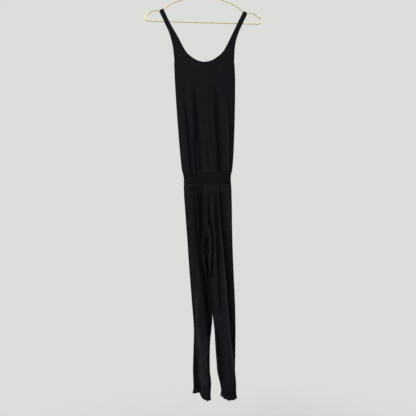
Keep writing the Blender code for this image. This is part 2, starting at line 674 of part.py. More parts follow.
def main():
    for item in list(bpy.data.objects):
        bpy.data.objects.remove(item, do_unlink=True)
    collection = bpy.data.collections.new(COLLECTION_NAME)
    bpy.context.scene.collection.children.link(collection)
    knit = new_material("Black knit", BLACK_KNIT)
    rib = new_material("Black rib", BLACK_RIB)
    gold = new_material("Gold wire", GOLD_WIRE)
    make_hanger(gold, collection)
    make_bodice(knit, collection)
    make_waistband(rib, collection)
    make_trousers(knit, collection)
    make_cuffs(rib, collection)


main()
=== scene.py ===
import math

import bpy
import numpy as np
from mathutils import Matrix, Vector
from mathutils.bvhtree import BVHTree


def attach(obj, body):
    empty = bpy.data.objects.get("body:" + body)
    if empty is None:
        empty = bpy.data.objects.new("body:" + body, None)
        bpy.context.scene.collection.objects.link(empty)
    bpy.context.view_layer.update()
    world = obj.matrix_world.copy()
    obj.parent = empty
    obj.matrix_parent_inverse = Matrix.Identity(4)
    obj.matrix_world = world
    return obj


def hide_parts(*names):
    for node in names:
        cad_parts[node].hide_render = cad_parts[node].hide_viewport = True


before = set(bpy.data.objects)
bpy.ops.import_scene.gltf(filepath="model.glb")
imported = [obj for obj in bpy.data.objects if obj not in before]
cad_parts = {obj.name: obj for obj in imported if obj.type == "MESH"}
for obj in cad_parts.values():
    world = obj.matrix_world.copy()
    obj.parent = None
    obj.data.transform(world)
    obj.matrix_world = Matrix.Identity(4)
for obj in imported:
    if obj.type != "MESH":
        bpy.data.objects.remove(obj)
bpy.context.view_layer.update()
mm = 0.001

# Sizes are in millimetres and angles in degrees unless a note says otherwise.
# +X is to the right as the front is seen, -Y is the front, and the origin is the seat of the hook.
sideNames = {-1: "left", 1: "right"}
wallNames = {-1: "front", 1: "back"}

# ---- studio
studio = {
    "eye": (-0.27560, -2.58536, -0.88214),  # metres
    "azimuth": -6.0,
    "roll": 1.3,
    "lens": 61.22,
    "sensor": 36.0,
    "backdrop": (0.722, 0.722, 0.706),
    "floorHeight": -1.80,  # metres, as are the next two
    "floorRadius": 1.65,
    "floorFade": (0.35, 1.30),  # radii where the floor starts and ends its fade into the backdrop
    "floorSides": 96,
    "floorColour": (0.30, 0.30, 0.295),
    "floorRoughness": 0.9,
    "lights": {
        # direction towards the light, strength, spread
        "key": ((-0.68, -0.60, 0.42), 6.6, 55.0),
        "fill": ((0.20, -0.88, 0.42), 0.9, 60.0),
        "rear": ((0.20, 0.80, 0.55), 3.6, 50.0),
    },
}


def makeCamera():
    turn, roll = math.radians(studio["azimuth"]), math.radians(studio["roll"])
    back = Vector((math.sin(turn), -math.cos(turn), 0.0))
    level = Vector((math.cos(turn), math.sin(turn), 0.0))
    plumb = Vector((0.0, 0.0, 1.0))
    right = level * math.cos(roll) - plumb * math.sin(roll)
    up = level * math.sin(roll) + plumb * math.cos(roll)
    lens = bpy.data.cameras.new("camera")
    lens.lens = studio["lens"]
    lens.sensor_width = studio["sensor"]
    holder = bpy.data.objects.new("camera", lens)
    turned = Matrix((right, up, back)).transposed().to_4x4()
    holder.matrix_world = Matrix.Translation(studio["eye"]) @ turned
    bpy.context.scene.collection.objects.link(holder)
    bpy.context.scene.camera = holder


def makeLight(name, direction, strength, spread):
    lamp = bpy.data.lights.new(name, "SUN")
    lamp.energy = strength
    lamp.angle = math.radians(spread)
    holder = bpy.data.objects.new(name, lamp)
    holder.rotation_euler = Vector(direction).to_track_quat("Z", "Y").to_euler()
    bpy.context.scene.collection.objects.link(holder)


def makeBackdrop():
    world = bpy.data.worlds.new("pale")
    world.use_nodes = True
    world.node_tree.nodes["Background"].inputs["Color"].default_value = (*studio["backdrop"], 1.0)
    bpy.context.scene.world = world
    bpy.context.scene.view_settings.view_transform = "Standard"


def makeFloor(finish):
    bpy.ops.mesh.primitive_circle_add(
        vertices=studio["floorSides"], radius=studio["floorRadius"], fill_type="NGON",
        location=(0, 0, studio["floorHeight"]),
    )
    floor = bpy.context.object
    floor.name = "floor"
    floor.data.materials.append(finish)


# ---- shader maths
class Signal:  # one socket's value, so that shader maths reads as an expression
    def __init__(self, tree, socket):
        self.tree = tree
        self.socket = socket

    def maths(self, operation, *others):
        made = self.tree.nodes.new("ShaderNodeMath")
        made.operation = operation
        for slot, value in zip(made.inputs, others):
            if isinstance(value, Signal):
                self.tree.links.new(value.socket, slot)
            else:
                slot.default_value = value
        return Signal(self.tree, made.outputs[0])

    def __add__(self, other):
        return self.maths("ADD", self, other)

    def __radd__(self, other):
        return self.maths("ADD", other, self)

    def __sub__(self, other):
        return self.maths("SUBTRACT", self, other)

    def __rsub__(self, other):
        return self.maths("SUBTRACT", other, self)

    def __mul__(self, other):
        return self.maths("MULTIPLY", self, other)

    def __rmul__(self, other):
        return self.maths("MULTIPLY", other, self)

    def cosine(self):
        return self.maths("COSINE", self)

    def sine(self):
        return self.maths("SINE", self)

    def absolute(self):
        return self.maths("ABSOLUTE", self)


class Finish:  # a material and the nodes in it
    def __init__(self, name):
        self.material = bpy.data.materials.new(name)
        self.material.use_nodes = True
        self.tree = self.material.node_tree
        self.surface = self.tree.nodes["Principled BSDF"]

    def node(self, kind, settings=None, sockets=None, output=0):
        made = self.tree.nodes.new(kind)
        for key, value in (settings or {}).items():
            if key == "stops":
                self.setStops(made.color_ramp, value)
            else:
                setattr(made, key, value)
        for key, value in (sockets or {}).items():
            self.join(made.inputs[key], value)
        return Signal(self.tree, made.outputs[output])

    def setStops(self, ramp, stops):
        while len(ramp.elements) < len(stops):
            ramp.elements.new(1.0)
        for element, (place, colour) in zip(ramp.elements, stops):
            element.position = place
            element.color = (*colour, 1.0)

    def join(self, socket, value):
        if isinstance(value, Signal):
            self.tree.links.new(value.socket, socket)
        else:
            socket.default_value = value

    def finish(self, **values):
        for key, value in values.items():
            self.join(self.surface.inputs[key.replace("_", " ")], value)
        return self.material


# The knit's colours are painted light: shade deep in folds, light on flat cloth, a painted
# highlight on crests.
knit = {
    "shade": (0.0026, 0.0027, 0.0031),  # painted shade, deep in the folds
    "light": (0.0048, 0.0050, 0.0056),
    "lightLevel": 0.75,  # the level of painted light that gives the light colour; a level of 1 gives the crest's painted highlight
    "crest": (0.0076, 0.0078, 0.0084),
    "foldShading": 0.75,  # what folds, patches and rows of stitches change in the level: painted shade and highlight for the folds, the cloth's own tone for patches and rows
    "patchWear": 0.55,
    "rowWear": 0.06,
    "patchScale": 38.0,
    "roughness": 0.86,
    "polish": 0.06,  # how much smoother the cloth is where it is paler
    "gloss": 0.008,  # specular level
    "sheen": 0.002,
    "sheenRoughness": 0.45,
    "sheenTint": (0.80, 0.84, 0.92),
    "wale": 1.25,  # width of one column of stitches
    "course": 0.95,  # height of one row of stitches
    "dip": 2.4,  # each stitch is a V, so its rows dip towards the middle of a column
    "legRelief": 0.7,
    "rowRelief": 0.3,
    "relief": 0.16,
    "bumpStrength": 0.35,
}

# The rib's colours carry the same painted shade and highlight.
rib = {
    **knit,
    "shade": (0.0022, 0.0023, 0.0027),
    "light": (0.0036, 0.0038, 0.0043),
    "crest": (0.0056, 0.0058, 0.0063),
    "roughness": 0.88,
    "gloss": 0.015,
    "sheen": 0.003,
    "wale": 2.1,
    "relief": 0.30,
    "bumpStrength": 0.45,
}


def knitFinish(name, look):
    knitted = Finish(name)
    place = knitted.node("ShaderNodeUVMap", {"uv_map": "cloth"})
    across, down = [
        knitted.node("ShaderNodeSeparateXYZ", sockets={"Vector": place}, output=n) for n in (0, 1)
    ]
    leg = (across * (math.pi / (look["wale"] * mm))).sine().absolute()
    row = (down * (math.tau / (look["course"] * mm)) + leg * look["dip"]).cosine()
    patches = knitted.node(
        "ShaderNodeTexNoise",
        sockets={"Vector": place, "Scale": look["patchScale"], "Detail": 4.0, "Roughness": 0.6},
    )
    # The proud attribute is painted light: paler on ridges, painted shade in folds; random patches
    # and rows of stitches add the cloth's own tone.
    proud = knitted.node("ShaderNodeAttribute", {"attribute_name": "proud"}, output=2)
    paleness = proud * look["foldShading"] + (patches - 0.5) * look["patchWear"] + row * look["rowWear"]
    stops = ((0.0, look["shade"]), (look["lightLevel"], look["light"]), (1.0, look["crest"]))
    bump = knitted.node(
        "ShaderNodeBump",
        sockets={
            "Height": leg * look["legRelief"] + row * look["rowRelief"],
            "Distance": look["relief"] * mm,
            "Strength": look["bumpStrength"],
        },
    )
    return knitted.finish(
        Base_Color=knitted.node("ShaderNodeValToRGB", {"stops": stops}, {"Fac": paleness}),
        Roughness=look["roughness"] - paleness * look["polish"],
        Normal=bump,
        Specular_IOR_Level=look["gloss"],
        Sheen_Weight=look["sheen"],
        Sheen_Roughness=look["sheenRoughness"],
        Sheen_Tint=(*look["sheenTint"], 1.0),
    )


thread = {
    "colour": (0.0050, 0.0052, 0.0060),
    "twistShade": 0.7,  # painted shade between the turns of the twist: how much of the colour is left
    "twistScale": 2600.0,
    "roughness": 0.7,
    "gloss": 0.06,
}

# the rolled edges: darker thread, and partly painted shade, so that they stay a dark line where
# light falls on them
edging = {**thread, "colour": (0.0016, 0.0017, 0.0020), "roughness": 0.9, "gloss": 0.0}


def threadFinish(name, look):
    spun = Finish(name)
    twist = spun.node("ShaderNodeTexNoise", sockets={"Scale": look["twistScale"], "Detail": 2.0})
    twistShade = tuple(c * look["twistShade"] for c in look["colour"])
    stops = ((0.3, twistShade), (0.7, look["colour"]))
    return spun.finish(
        Base_Color=spun.node("ShaderNodeValToRGB", {"stops": stops}, {"Fac": twist}),
        Roughness=look["roughness"],
        Specular_IOR_Level=look["gloss"],
    )


wire = {
    "gold": (0.37, 0.29, 0.068),
    "pale": (0.46, 0.37, 0.13),
    "goldUnder": 0.35,  # levels of the cloudy noise
    "paleOver": 0.75,
    "cloudScale": 60.0,
    "grainScale": 900.0,
    "grainDepth": 0.05,
    "grainStrength": 0.3,
    "roughness": 0.24,
    "grainRoughness": 0.12,
}


def wireFinish():
    gold = Finish("goldWire")
    place = gold.node("ShaderNodeTexCoord", output=3)
    cloud, grain = [
        gold.node("ShaderNodeTexNoise", sockets={"Vector": place, "Scale": scale, "Detail": detail})
        for scale, detail in ((wire["cloudScale"], 5.0), (wire["grainScale"], 2.0))
    ]
    stops = ((wire["goldUnder"], wire["gold"]), (wire["paleOver"], wire["pale"]))
    depth = wire["grainDepth"] * mm
    bump = {"Height": grain, "Distance": depth, "Strength": wire["grainStrength"]}
    return gold.finish(
        Base_Color=gold.node("ShaderNodeValToRGB", {"stops": stops}, {"Fac": cloud}),
        Metallic=1.0,
        Roughness=wire["roughness"] + grain * wire["grainRoughness"],
        Normal=gold.node("ShaderNodeBump", sockets=bump),
    )


def floorFinish():
    plain = Finish("paleFloor")
    spot = plain.node("ShaderNodeTexCoord", output=3)
    reach = plain.node("ShaderNodeVectorMath", {"operation": "LENGTH"}, {0: spot}, output=1)
    start, end = studio["floorFade"]
    fade = plain.node(
        "ShaderNodeMapRange",
        {"interpolation_type": "SMOOTHERSTEP"},
        {"Value": reach, "From Min": start, "From Max": end, "To Min": 1.0, "To Max": 0.0},
    )
    return plain.finish(
        Base_Color=(*studio["floorColour"], 1.0),
        Roughness=studio["floorRoughness"],
        Specular_IOR_Level=0.0,
        Alpha=fade,
    )


# ---- reading the cloth's tables
def ease(t):
    t = np.clip(t, 0.0, 1.0)
    return t * t * (3 - 2 * t)


def mix(a, b, t):
    return a + (b - a) * t


def curveThrough(rows, column=1):  # a smooth curve through a table's rows that doesn't overshoot
    rows = sorted(rows)
    place = np.array([entry[0] for entry in rows], float)
    value = np.array([entry[column] for entry in rows], float)
    step = np.diff(value) / np.diff(place)
    slope = np.concatenate((step[:1], np.zeros(len(place) - 2), step[-1:]))
    before, after = step[:-1], step[1:]
    together = before * after > 0
    total = np.where(together, before + after, 1.0)
    slope[1:-1] = np.where(together, 2 * before * after / total, 0.0)

    def read(where):
        where = np.clip(where, place[0], place[-1])
        i = np.clip(np.searchsorted(place, where, side="right") - 1, 0, len(place) - 2)
        span = place[i + 1] - place[i]
        t = (where - place[i]) / span
        return (
            value[i] * (1 + 2 * t) * (1 - t) ** 2
            + slope[i] * span * t * (1 - t) ** 2
            + value[i + 1] * t * t * (3 - 2 * t)
            + slope[i + 1] * span * t * t * (t - 1)
        )

    return read


def columnsOf(table):
    return [curveThrough(table, n) for n in range(1, len(table[0]))]


# ---- cloth in general
cloth = {
    "wall": 0.9,
    "roundness": 0.60,  # exponent of the flattened oval sections
    "tuck": 1.5,  # beside a side seam the wall runs straight for this far
    "clearance": 0.3,  # the least distance of a wall from the hanging plane
    "tilt": 1.35,  # the rows of the cloth follow the tilted hanger
    "seamFade": 0.15,  # sine of a section's angle where relief has its full depth, from a side seam
    "nip": 0.25,  # the cloth turns in at a waist seam
    "nipHeight": 5.0,
    "level": 0.62,  # painted light of flat cloth: ridges are painted paler, folds get painted shade
    "foldDepth": 9.0,  # a fold this deep takes one off the painted light
    "mostLight": 1.35,
    "paintedSeamShade": (0.55, 0.0, 15.0),  # painted shade at the left and right side seams, over what width
    "ripples": (
        # width, height, depth, step of the seed
        (11.0, 75.0, 0.55, 0),
        (6.0, 17.0, 0.22, 3),
        (26.0, 13.0, 0.16, 7),
    ),
}


def flatten(value):
    return np.sign(value) * np.abs(value) ** cloth["roundness"]


def settle(x, y, z):  # millimetres in rows to metres in place
    x, y, z = np.broadcast_arrays(x, y, z)
    return np.stack((x, y, z - math.tan(math.radians(cloth["tilt"])) * x), -1) * mm


def lattice(i, j, seed):  # an even hash of a lattice point
    mixed = np.sin(i * 127.1 + j * 311.7 + seed * 74.7) * 43758.5453
    return mixed - np.floor(mixed)


def softNoise(x, z, wide, tall, seed):  # smooth noise from -1 to 1
    a, b = x / wide, z / tall
    i, j = np.floor(a), np.floor(b)
    s, t = ease(a - i), ease(b - j)
    top = mix(lattice(i, j, seed), lattice(i + 1, j, seed), s)
    low = mix(lattice(i, j + 1, seed), lattice(i + 1, j + 1, seed), s)
    return 2 * mix(top, low, t) - 1


def creaseDepth(creases, x, z):
    total = np.zeros_like(x * z)
    for depth, left, right, fadeTop, fadeEnd, *line in creases:
        high, low = line[0][0], line[-1][0]
        middle = curveThrough(line)(z)
        strength = ease((high - z) / fadeTop) * ease((z - low) / fadeEnd)
        away = x - middle
        total += depth * strength * np.exp(-((away / np.where(away < 0, left, right)) ** 2))
    return total


def puckerDepth(puckers, x, z):
    total = np.zeros_like(x * z)
    for depth, middle, height, halfWidth, halfHeight in puckers:
        away = ((x - middle) / halfWidth) ** 2, ((z - height) / halfHeight) ** 2
        total += depth * np.exp(-away[0] - away[1])
    return total


def crinkle(x, z, seed, amount=1.0):  # small uneven ripples that run mostly down the cloth
    total = 0.0
    for wide, tall, depth, step in cloth["ripples"]:
        total = total + softNoise(x, z, wide, tall, seed + step) * depth
    return total * amount


gather = {
    "seeds": {"upper": (31, 47), "lower": (91, 97)},  # of the two waist seams, front and back
    "depths": {"upper": 0.55, "lower": 0.70},
    "drift": (24.0, 4.0),  # the pleats wander: over what width, how far
    "fine": (1.55, 0.6),  # width and depth of the fine pleats
    "broad": (2.6, 0.7),
    "broadStart": 1.3,
    "uneven": (14.0, 0.5, 0.75),  # the depth changes: over what width, how much, around what
}


def gathers(x, away, reach, seed):  # small pleats, this far away from a gathered seam
    driftWidth, drift = gather["drift"]
    fineWidth, fine = gather["fine"]
    broadWidth, broad = gather["broad"]
    unevenWidth, change, mean = gather["uneven"]
    bend = softNoise(x, 0.0 * x, driftWidth, 1.0, seed) * drift
    wave = np.sin((x + bend) / fineWidth) * fine
    wave = wave + np.sin((x - bend) / broadWidth + gather["broadStart"]) * broad
    height = softNoise(x, 0.0 * x, unevenWidth, 1.0, seed + 5) * change + mean
    return wave * height * ease(1 - away / reach)


def waistGathers(seam, x, away, reach, wall):
    front, back = [gathers(x, away, reach, seed) for seed in gather["seeds"][seam]]
    return np.where(wall < 0, front, back) * gather["depths"][seam]


def evenAngles(start, end, count, halfWidth, depth):  # angles that divide an oval curve evenly
    fine = np.linspace(start, end, 721)
    x, y = halfWidth * flatten(np.cos(fine)), depth * flatten(np.sin(fine))
    along = np.concatenate(([0.0], np.cumsum(np.hypot(np.diff(x), np.diff(y)))))
    return np.interp(np.linspace(0, along[-1], count + 1), along, fine)


def clothLengths(points, closed):  # lengths along rows from the middle column, and down columns
    across = np.linalg.norm(np.diff(points, axis=1, append=points[:, :1]), axis=2)
    across = np.concatenate((np.zeros((len(points), 1)), np.cumsum(across, 1)), 1)
    if not closed:
        across = across[:, :-1]
    across = across - across[:, across.shape[1] // 2][:, None]
    down = np.linalg.norm(np.diff(points, axis=0), axis=2).mean(1)
    down = np.concatenate(([0.0], np.cumsum(down)))
    return across, np.broadcast_to(down[:, None], across.shape)


def addPiece(name, points, faces, finish, uv=None, proud=None):
    mesh = bpy.data.meshes.new(name)
    mesh.from_pydata(points.tolist(), [], faces.tolist())
    if uv is not None:
        layer = mesh.uv_layers.new(name="cloth")
        layer.data.foreach_set("uv", uv.astype(np.float32).ravel())
    if proud is not None:
        level = mesh.attributes.new("proud", "FLOAT", "POINT")
        level.data.foreach_set("value", proud.astype(np.float32))
    mesh.validate()
    mesh.shade_smooth()
    mesh.materials.append(finish)
    piece = bpy.data.objects.new(name, mesh)
    bpy.context.scene.collection.objects.link(piece)
    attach(piece, "root")
    return piece


def clothPiece(node, sheets, finish, closed=False, back=False):
    # Each sheet is (points, proud), with rows from top to bottom and columns to the right.
    # Points that two sheets share are joined, and the piece stands for the node.
    allPoints, allFaces, allUv, allProud = [], [], [], []
    start = 0
    for points, proud in sheets:
        rows, columns = points.shape[:2]
        index = start + np.arange(rows * columns).reshape(rows, columns)
        after = np.roll(index, -1, 1) if closed else index[:, 1:]
        here = index if closed else index[:, :-1]
        across, down = clothLengths(points, closed)
        corners = [
            (here[:-1], across[:-1, :-1], down[:-1, :-1]),
            (here[1:], across[1:, :-1], down[1:, :-1]),
            (after[1:], across[1:, 1:], down[1:, 1:]),
            (after[:-1], across[:-1, 1:], down[:-1, 1:]),
        ]
        if back:
            corners = corners[::-1]
        allFaces.append(np.stack([c[0] for c in corners], -1).reshape(-1, 4))
        allUv.append(np.stack([np.stack(c[1:], -1) for c in corners], 2).reshape(-1, 2))
        allPoints.append(points.reshape(-1, 3))
        allProud.append(proud.ravel())
        start += rows * columns
    points, faces, uv, proud = map(np.concatenate, (allPoints, allFaces, allUv, allProud))
    _, kept, joined = np.unique(
        np.round(points / 1e-6), axis=0, return_index=True, return_inverse=True
    )
    faces = joined.reshape(-1)[faces]
    piece = addPiece(f"{node}_cloth", points[kept], faces, finish, uv, proud[kept])
    wall = piece.modifiers.new("cloth wall", "SOLIDIFY")
    wall.thickness = cloth["wall"] * mm
    wall.offset = -1.0
    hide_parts(node)
    return piece


def proudness(depth):  # painted light of the cloth at this fold depth: painted shade in folds, paler on ridges
    return np.clip(cloth["level"] - depth / cloth["foldDepth"], 0.0, cloth["mostLight"])


def paintedSeamShade(x, left, right):  # painted shade beside the side seams
    leftAmount, rightAmount, width = cloth["paintedSeamShade"]
    return leftAmount * ease(1 - (x - left) / width) + rightAmount * ease(1 - (right - x) / width)


# ---- bodice
bodice = {
    "underarm": -336.0,
    "neckCorner": -328.0,
    "spread": (0.6, 30.0),  # the side seam opens at the underarm: how far, over what length
    "sideColumns": 30,
    "scoopColumns": 70,
    "rows": 150,
    "strapRows": 62,
    "foldEnd": 12.0,  # a fold keeps its shade for this far as it flattens into the waist
    "foldFade": 0.3,  # sine of the section's angle where folds have their full depth
    "rippleFade": 0.2,
    "rippleTop": 40.0,  # ripples fade in over this far from the neckline
    "rippleEnd": 9.0,
    "seeds": {"front": 11, "back": 23},
    "gatherReach": 26.0,
    "typical": (104.0, 22.0),  # oval that the columns divide evenly: half width, depth
    "shoulder": (159.4, 147.8),  # where a strap lies on the hanger's arm, outer and inner edge
    "shoulderRadius": 3.95,
    "strapTop": ((0.0, 0.965), (0.5, 0.985)),  # apart, and height as a share of the radius
    "strapTurn": (76, 62, 48, 36, 24, 12, 0),  # then round the wire
    "strapRipple": (61, 0.5, 3, 1.2),  # seed, depth, then how it rises down the strap
    "edgeColumn": 0.25,  # width of the narrow column along the armhole, as a share
    "sections": (
        # height, left, right, front, back
        (-336.0, -115.2, 105.1, 9.0, 8.0),
        (-360.0, -116.4, 106.6, 11.0, 10.0),
        (-400.0, -115.8, 107.5, 13.5, 12.0),
        (-460.0, -113.6, 106.1, 15.5, 13.5),
        (-520.0, -111.2, 103.9, 16.5, 14.5),
        (-600.0, -107.0, 100.0, 17.5, 15.5),
        (-680.0, -102.2, 95.2, 18.5, 16.5),
        (-720.0, -99.2, 91.4, 18.5, 16.5),
        (-745.0, -96.5, 88.0, 17.0, 15.0),
        (-759.5, -92.6, 84.1, 14.0, 12.5),
        (-777.0, -90.5, 82.6, 13.0, 11.5),
        (-795.5, -90.6, 83.4, 14.0, 12.5),
    ),
    "straps": (
        # height, left arm edge, left neck edge, right neck edge, right arm edge, apart, crown
        (-157.0, -163.8, -151.4, 143.6, 155.9, 3.95, 0.0),
        (-165.0, -163.4, -147.6, 139.4, 155.6, 3.95, 0.0),
        (-190.0, -152.6, -136.4, 126.0, 144.4, 4.4, 0.3),
        (-206.0, -146.1, -128.9, 118.4, 136.7, 4.8, 0.6),
        (-225.0, -137.0, -119.0, 108.7, 127.5, 5.3, 1.0),
        (-245.0, -129.2, -107.4, 98.6, 119.3, 5.7, 1.6),
        (-265.0, -124.0, -96.8, 88.9, 112.8, 5.8, 2.4),
        (-285.0, -119.7, -87.2, 78.0, 108.8, 5.3, 3.6),
        (-300.0, -117.4, -79.4, 69.4, 106.9, 4.5, 5.0),
        (-312.0, -116.7, -71.8, 60.0, 106.2, 3.6, 6.4),
        (-322.0, -115.8, -62.8, 49.6, 105.5, 2.8, 7.6),
        (-328.0, -115.4, -55.0, 41.6, 105.2, 2.2, 8.4),
        (-336.0, -115.2, -55.0, 41.6, 105.1, 1.6, 9.0),
    ),
    "scoop": {"front": (-346.6, -7.4), "back": (-352.0, -6.0)},  # lowest point: height, x
    "creases": {
        # depth, half width left and right, fade at the top and the end, (height, x) down its line
        "front": (
            (-1.6, 5.0, 14.0, 60, 10, (-348, -110.5), (-391, -112.2), (-478, -109.1),
             (-565, -104.6), (-652, -100.0), (-696, -95.9), (-757, -90.8)),
            (5.6, 6.0, 9.0, 170, 14, (-412, -82.2), (-478, -80.8), (-565, -73.3), (-652, -67.6),
             (-757, -62.8)),
            (6.8, 10.0, 10.0, 170, 14, (-383, -43.7), (-477, -41.4), (-564, -39.1), (-608, -39.3),
             (-652, -43.2), (-695, -42.8), (-757, -40.5)),
            (6.0, 5.5, 7.5, 110, 14, (-506, -35.2), (-608, -32.8), (-651, -30.8), (-695, -29.6),
             (-757, -25.6)),
            (8.4, 12.0, 11.0, 190, 14, (-388, 30.8), (-432, 32.7), (-476, 36.9), (-563, 40.7),
             (-651, 44.6), (-694, 45.4), (-756, 47.3)),
            (-3.8, 6.0, 4.0, 160, 6, (-446, 72.8), (-519, 74.1), (-606, 75.0), (-694, 76.0),
             (-756, 77.5)),
            (1.4, 3.5, 5.0, 100, 20, (-460, 83.5), (-519, 86.6), (-606, 86.8), (-727, 85.5)),
            (1.4, 5.0, 5.0, 90, 20, (-600, -1.9), (-695, 3.3), (-753, 7.4)),
        ),
        "back": (
            (7.5, 6.5, 5.5, 140, 12, (-410, -74.0), (-540, -68.0), (-650, -60.0), (-760, -52.0)),
            (9.0, 7.0, 6.5, 160, 12, (-395, -20.0), (-520, -16.0), (-640, -12.5), (-760, -6.0)),
            (8.0, 6.0, 6.0, 140, 12, (-430, 53.0), (-560, 50.5), (-680, 49.0), (-760, 46.0)),
            (4.0, 5.0, 5.0, 90, 12, (-560, 20.0), (-660, 21.0), (-760, 19.0)),
            (3.5, 5.0, 6.0, 100, 12, (-520, -92.0), (-640, -86.0), (-760, -78.0)),
            (-2.0, 6.0, 6.0, 120, 14, (-470, 76.0), (-600, 73.0), (-760, 68.0)),
        ),
    },
}


bodiceColumns = columnsOf(bodice["sections"])
strapColumns = columnsOf(bodice["straps"])


def bodiceSection(z, angle, wall):
    left, right, front, rear = [read(z) for read in bodiceColumns]
    depth = front if wall < 0 else rear
    x = (left + right) / 2 - (right - left) / 2 * flatten(np.cos(angle))
    return x, cloth["tuck"] + depth * flatten(np.sin(angle))


def bodiceAngles():
    left, right = bodiceColumns[:2]
    corner = bodice["neckCorner"]
    _, leftNeck, rightNeck = strapColumns[:3]

    def reach(x):
        share = ((left(corner) + right(corner)) / 2 - x) / ((right(corner) - left(corner)) / 2)
        return math.acos(math.copysign(abs(share) ** (1 / cloth["roundness"]), share))

    a, b = reach(leftNeck(corner)), reach(rightNeck(corner))
    sides, scoop = bodice["sideColumns"], bodice["scoopColumns"]
    first = evenAngles(0, a, sides, *bodice["typical"])
    middle = evenAngles(a, b, scoop, *bodice["typical"])
    last = evenAngles(b, math.pi, sides, *bodice["typical"])
    return np.concatenate((first, middle[1:-1], last))


def bodiceTop(x, columns, wall):  # height of the body's first row: the underarms, then the scoop
    corner = bodice["neckCorner"]
    lowest, middle = bodice["scoop"][wallNames[wall]]
    _, leftNeck, rightNeck = [read(corner) for read in strapColumns[:3]]
    share = (x - middle) / np.where(x < middle, leftNeck - middle, rightNeck - middle)
    scoop = mix(lowest, corner, share**2)
    n = np.arange(columns)
    fromSide = np.minimum(n, columns - 1 - n) / bodice["sideColumns"]
    return np.where(fromSide < 1, mix(bodice["underarm"], corner, fromSide), scoop)


def bodiceBody(wall):
    name = wallNames[wall]
    angle = bodiceAngles()
    atTop, _ = bodiceSection(bodice["underarm"], angle, wall)
    top = bodiceTop(atTop, len(angle), wall)
    bottom = waistband["top"]
    share = np.linspace(0, 1, bodice["rows"] + 1)[:, None]
    z = mix(top[None, :], bottom, share)
    x, y = bodiceSection(z, angle[None, :], wall)
    fromTop, fromWaist = top[None, :] - z, z - bottom
    edge = np.sin(angle)[None, :]
    fade = ease(edge / bodice["foldFade"])
    ripple = crinkle(x, z, bodice["seeds"][name]) * ease(fromTop / bodice["rippleTop"])
    ripple = ripple * ease(edge / bodice["rippleFade"]) * ease(fromWaist / bodice["rippleEnd"])
    pleat = waistGathers("upper", x, fromWaist, bodice["gatherReach"], wall)
    nip = cloth["nip"] * ease(1 - fromWaist / cloth["nipHeight"])
    creases = bodice["creases"][name]
    relief = (ripple + pleat - nip) * ease(edge / cloth["seamFade"])
    y = y - creaseDepth(creases, x, z) * fade + relief
    # Painted light: painted shade in the folds, kept as they flatten into the waist, paler on
    # ridges, painted shade beside the side seams.
    shade = creaseDepth(creases, x, np.maximum(z, bottom + bodice["foldEnd"]))
    left, right = [read(z) for read in bodiceColumns[:2]]
    proud = proudness(shade * fade - ripple - pleat) - paintedSeamShade(x, left, right)
    x, y, z, proud = [np.hstack((grid[:, :1], grid, grid[:, -1:])) for grid in (x, y, z, proud)]
    spread, length = bodice["spread"]
    y[:, [0, -1]] = spread * ease((z[:, :1] - bodice["underarm"]) / length + 1)
    return x, wall * y, z, proud


def strapSheet(side, wall, body):
    armTop, neckTop = bodice["shoulder"]
    sides, rows = bodice["sideColumns"], bodice["strapRows"]
    share = np.linspace(0, 1, sides + 1)
    shift = math.sin(math.radians(cloth["tilt"]))
    out = mix(armTop, neckTop, share)
    height = wireHeight(out)
    seatX = side * out + height * shift
    rise = (seatX[-1] - seatX[0], height[-1] - height[0])
    length = math.hypot(*rise)
    up = (rise[1] / length * side, -rise[0] / length * side)
    radius = bodice["shoulderRadius"]
    over = [(apart, radius * high) for apart, high in bodice["strapTop"]]
    turn = np.radians(bodice["strapTurn"])
    over += [(radius * math.cos(a), radius * math.sin(a)) for a in turn]
    xs = [seatX + up[0] * high for _, high in over]
    ys = [np.full(sides + 1, apart) for apart, _ in over]
    zs = [height + up[1] * high for _, high in over]
    leftArm, leftNeck, rightNeck, rightArm, apart, crown = strapColumns
    armEdge, neckEdge = (leftArm, leftNeck) if side < 0 else (rightArm, rightNeck)
    seed, ripple, rising, start = bodice["strapRipple"]
    for step in range(1, rows):
        down = step / rows
        armZ = mix(height[0], bodice["underarm"], down)
        neckZ = mix(height[-1], bodice["neckCorner"], down)
        x, z = mix(armEdge(armZ), neckEdge(neckZ), share), mix(armZ, neckZ, share)
        middle = (leftArm(z) + rightArm(z)) / 2
        reach = np.abs(armEdge(z) - middle)
        across = np.minimum(np.abs(x - middle) / reach, 1.0) ** (1 / cloth["roundness"])
        wave = crinkle(x, z, seed) * ease(down * rising - start) * ripple
        wave = wave * np.sin(math.pi * share)
        xs.append(x)
        ys.append(apart(z) + crown(z) * flatten(np.sin(np.arccos(across))) + wave)
        zs.append(z)
    x, y, z = np.array(xs), np.array(ys), np.array(zs)
    if side > 0:
        x, y, z = x[:, ::-1], y[:, ::-1], z[:, ::-1]

    def widened(grid):
        edge, inner = (grid[:, :1], grid[:, 1:2]) if side < 0 else (grid[:, -1:], grid[:, -2:-1])
        added = mix(edge, inner, bodice["edgeColumn"])
        if side < 0:
            return np.hstack((edge, added, grid[:, 1:]))
        return np.hstack((grid[:, :-1], added, edge))

    x, y, z = widened(x), widened(wall * y), widened(z)
    cut = slice(0, sides + 2) if side < 0 else slice(-(sides + 2), None)
    x, y, z = [np.vstack((grid, below[:1, cut])) for grid, below in zip((x, y, z), body)]
    return settle(x, y, z), np.full(x.shape, cloth["level"])


def makeBodice(finish):
    pieces = {}
    for wall, name in wallNames.items():
        body = bodiceBody(wall)
        sheets = [(settle(*body[:3]), body[3])]
        sheets += [strapSheet(side, wall, body) for side in sideNames]
        piece = clothPiece(f"bodice_{name}", sheets, finish, back=wall > 0)
        pieces[wall] = (piece, sheets)
    return pieces


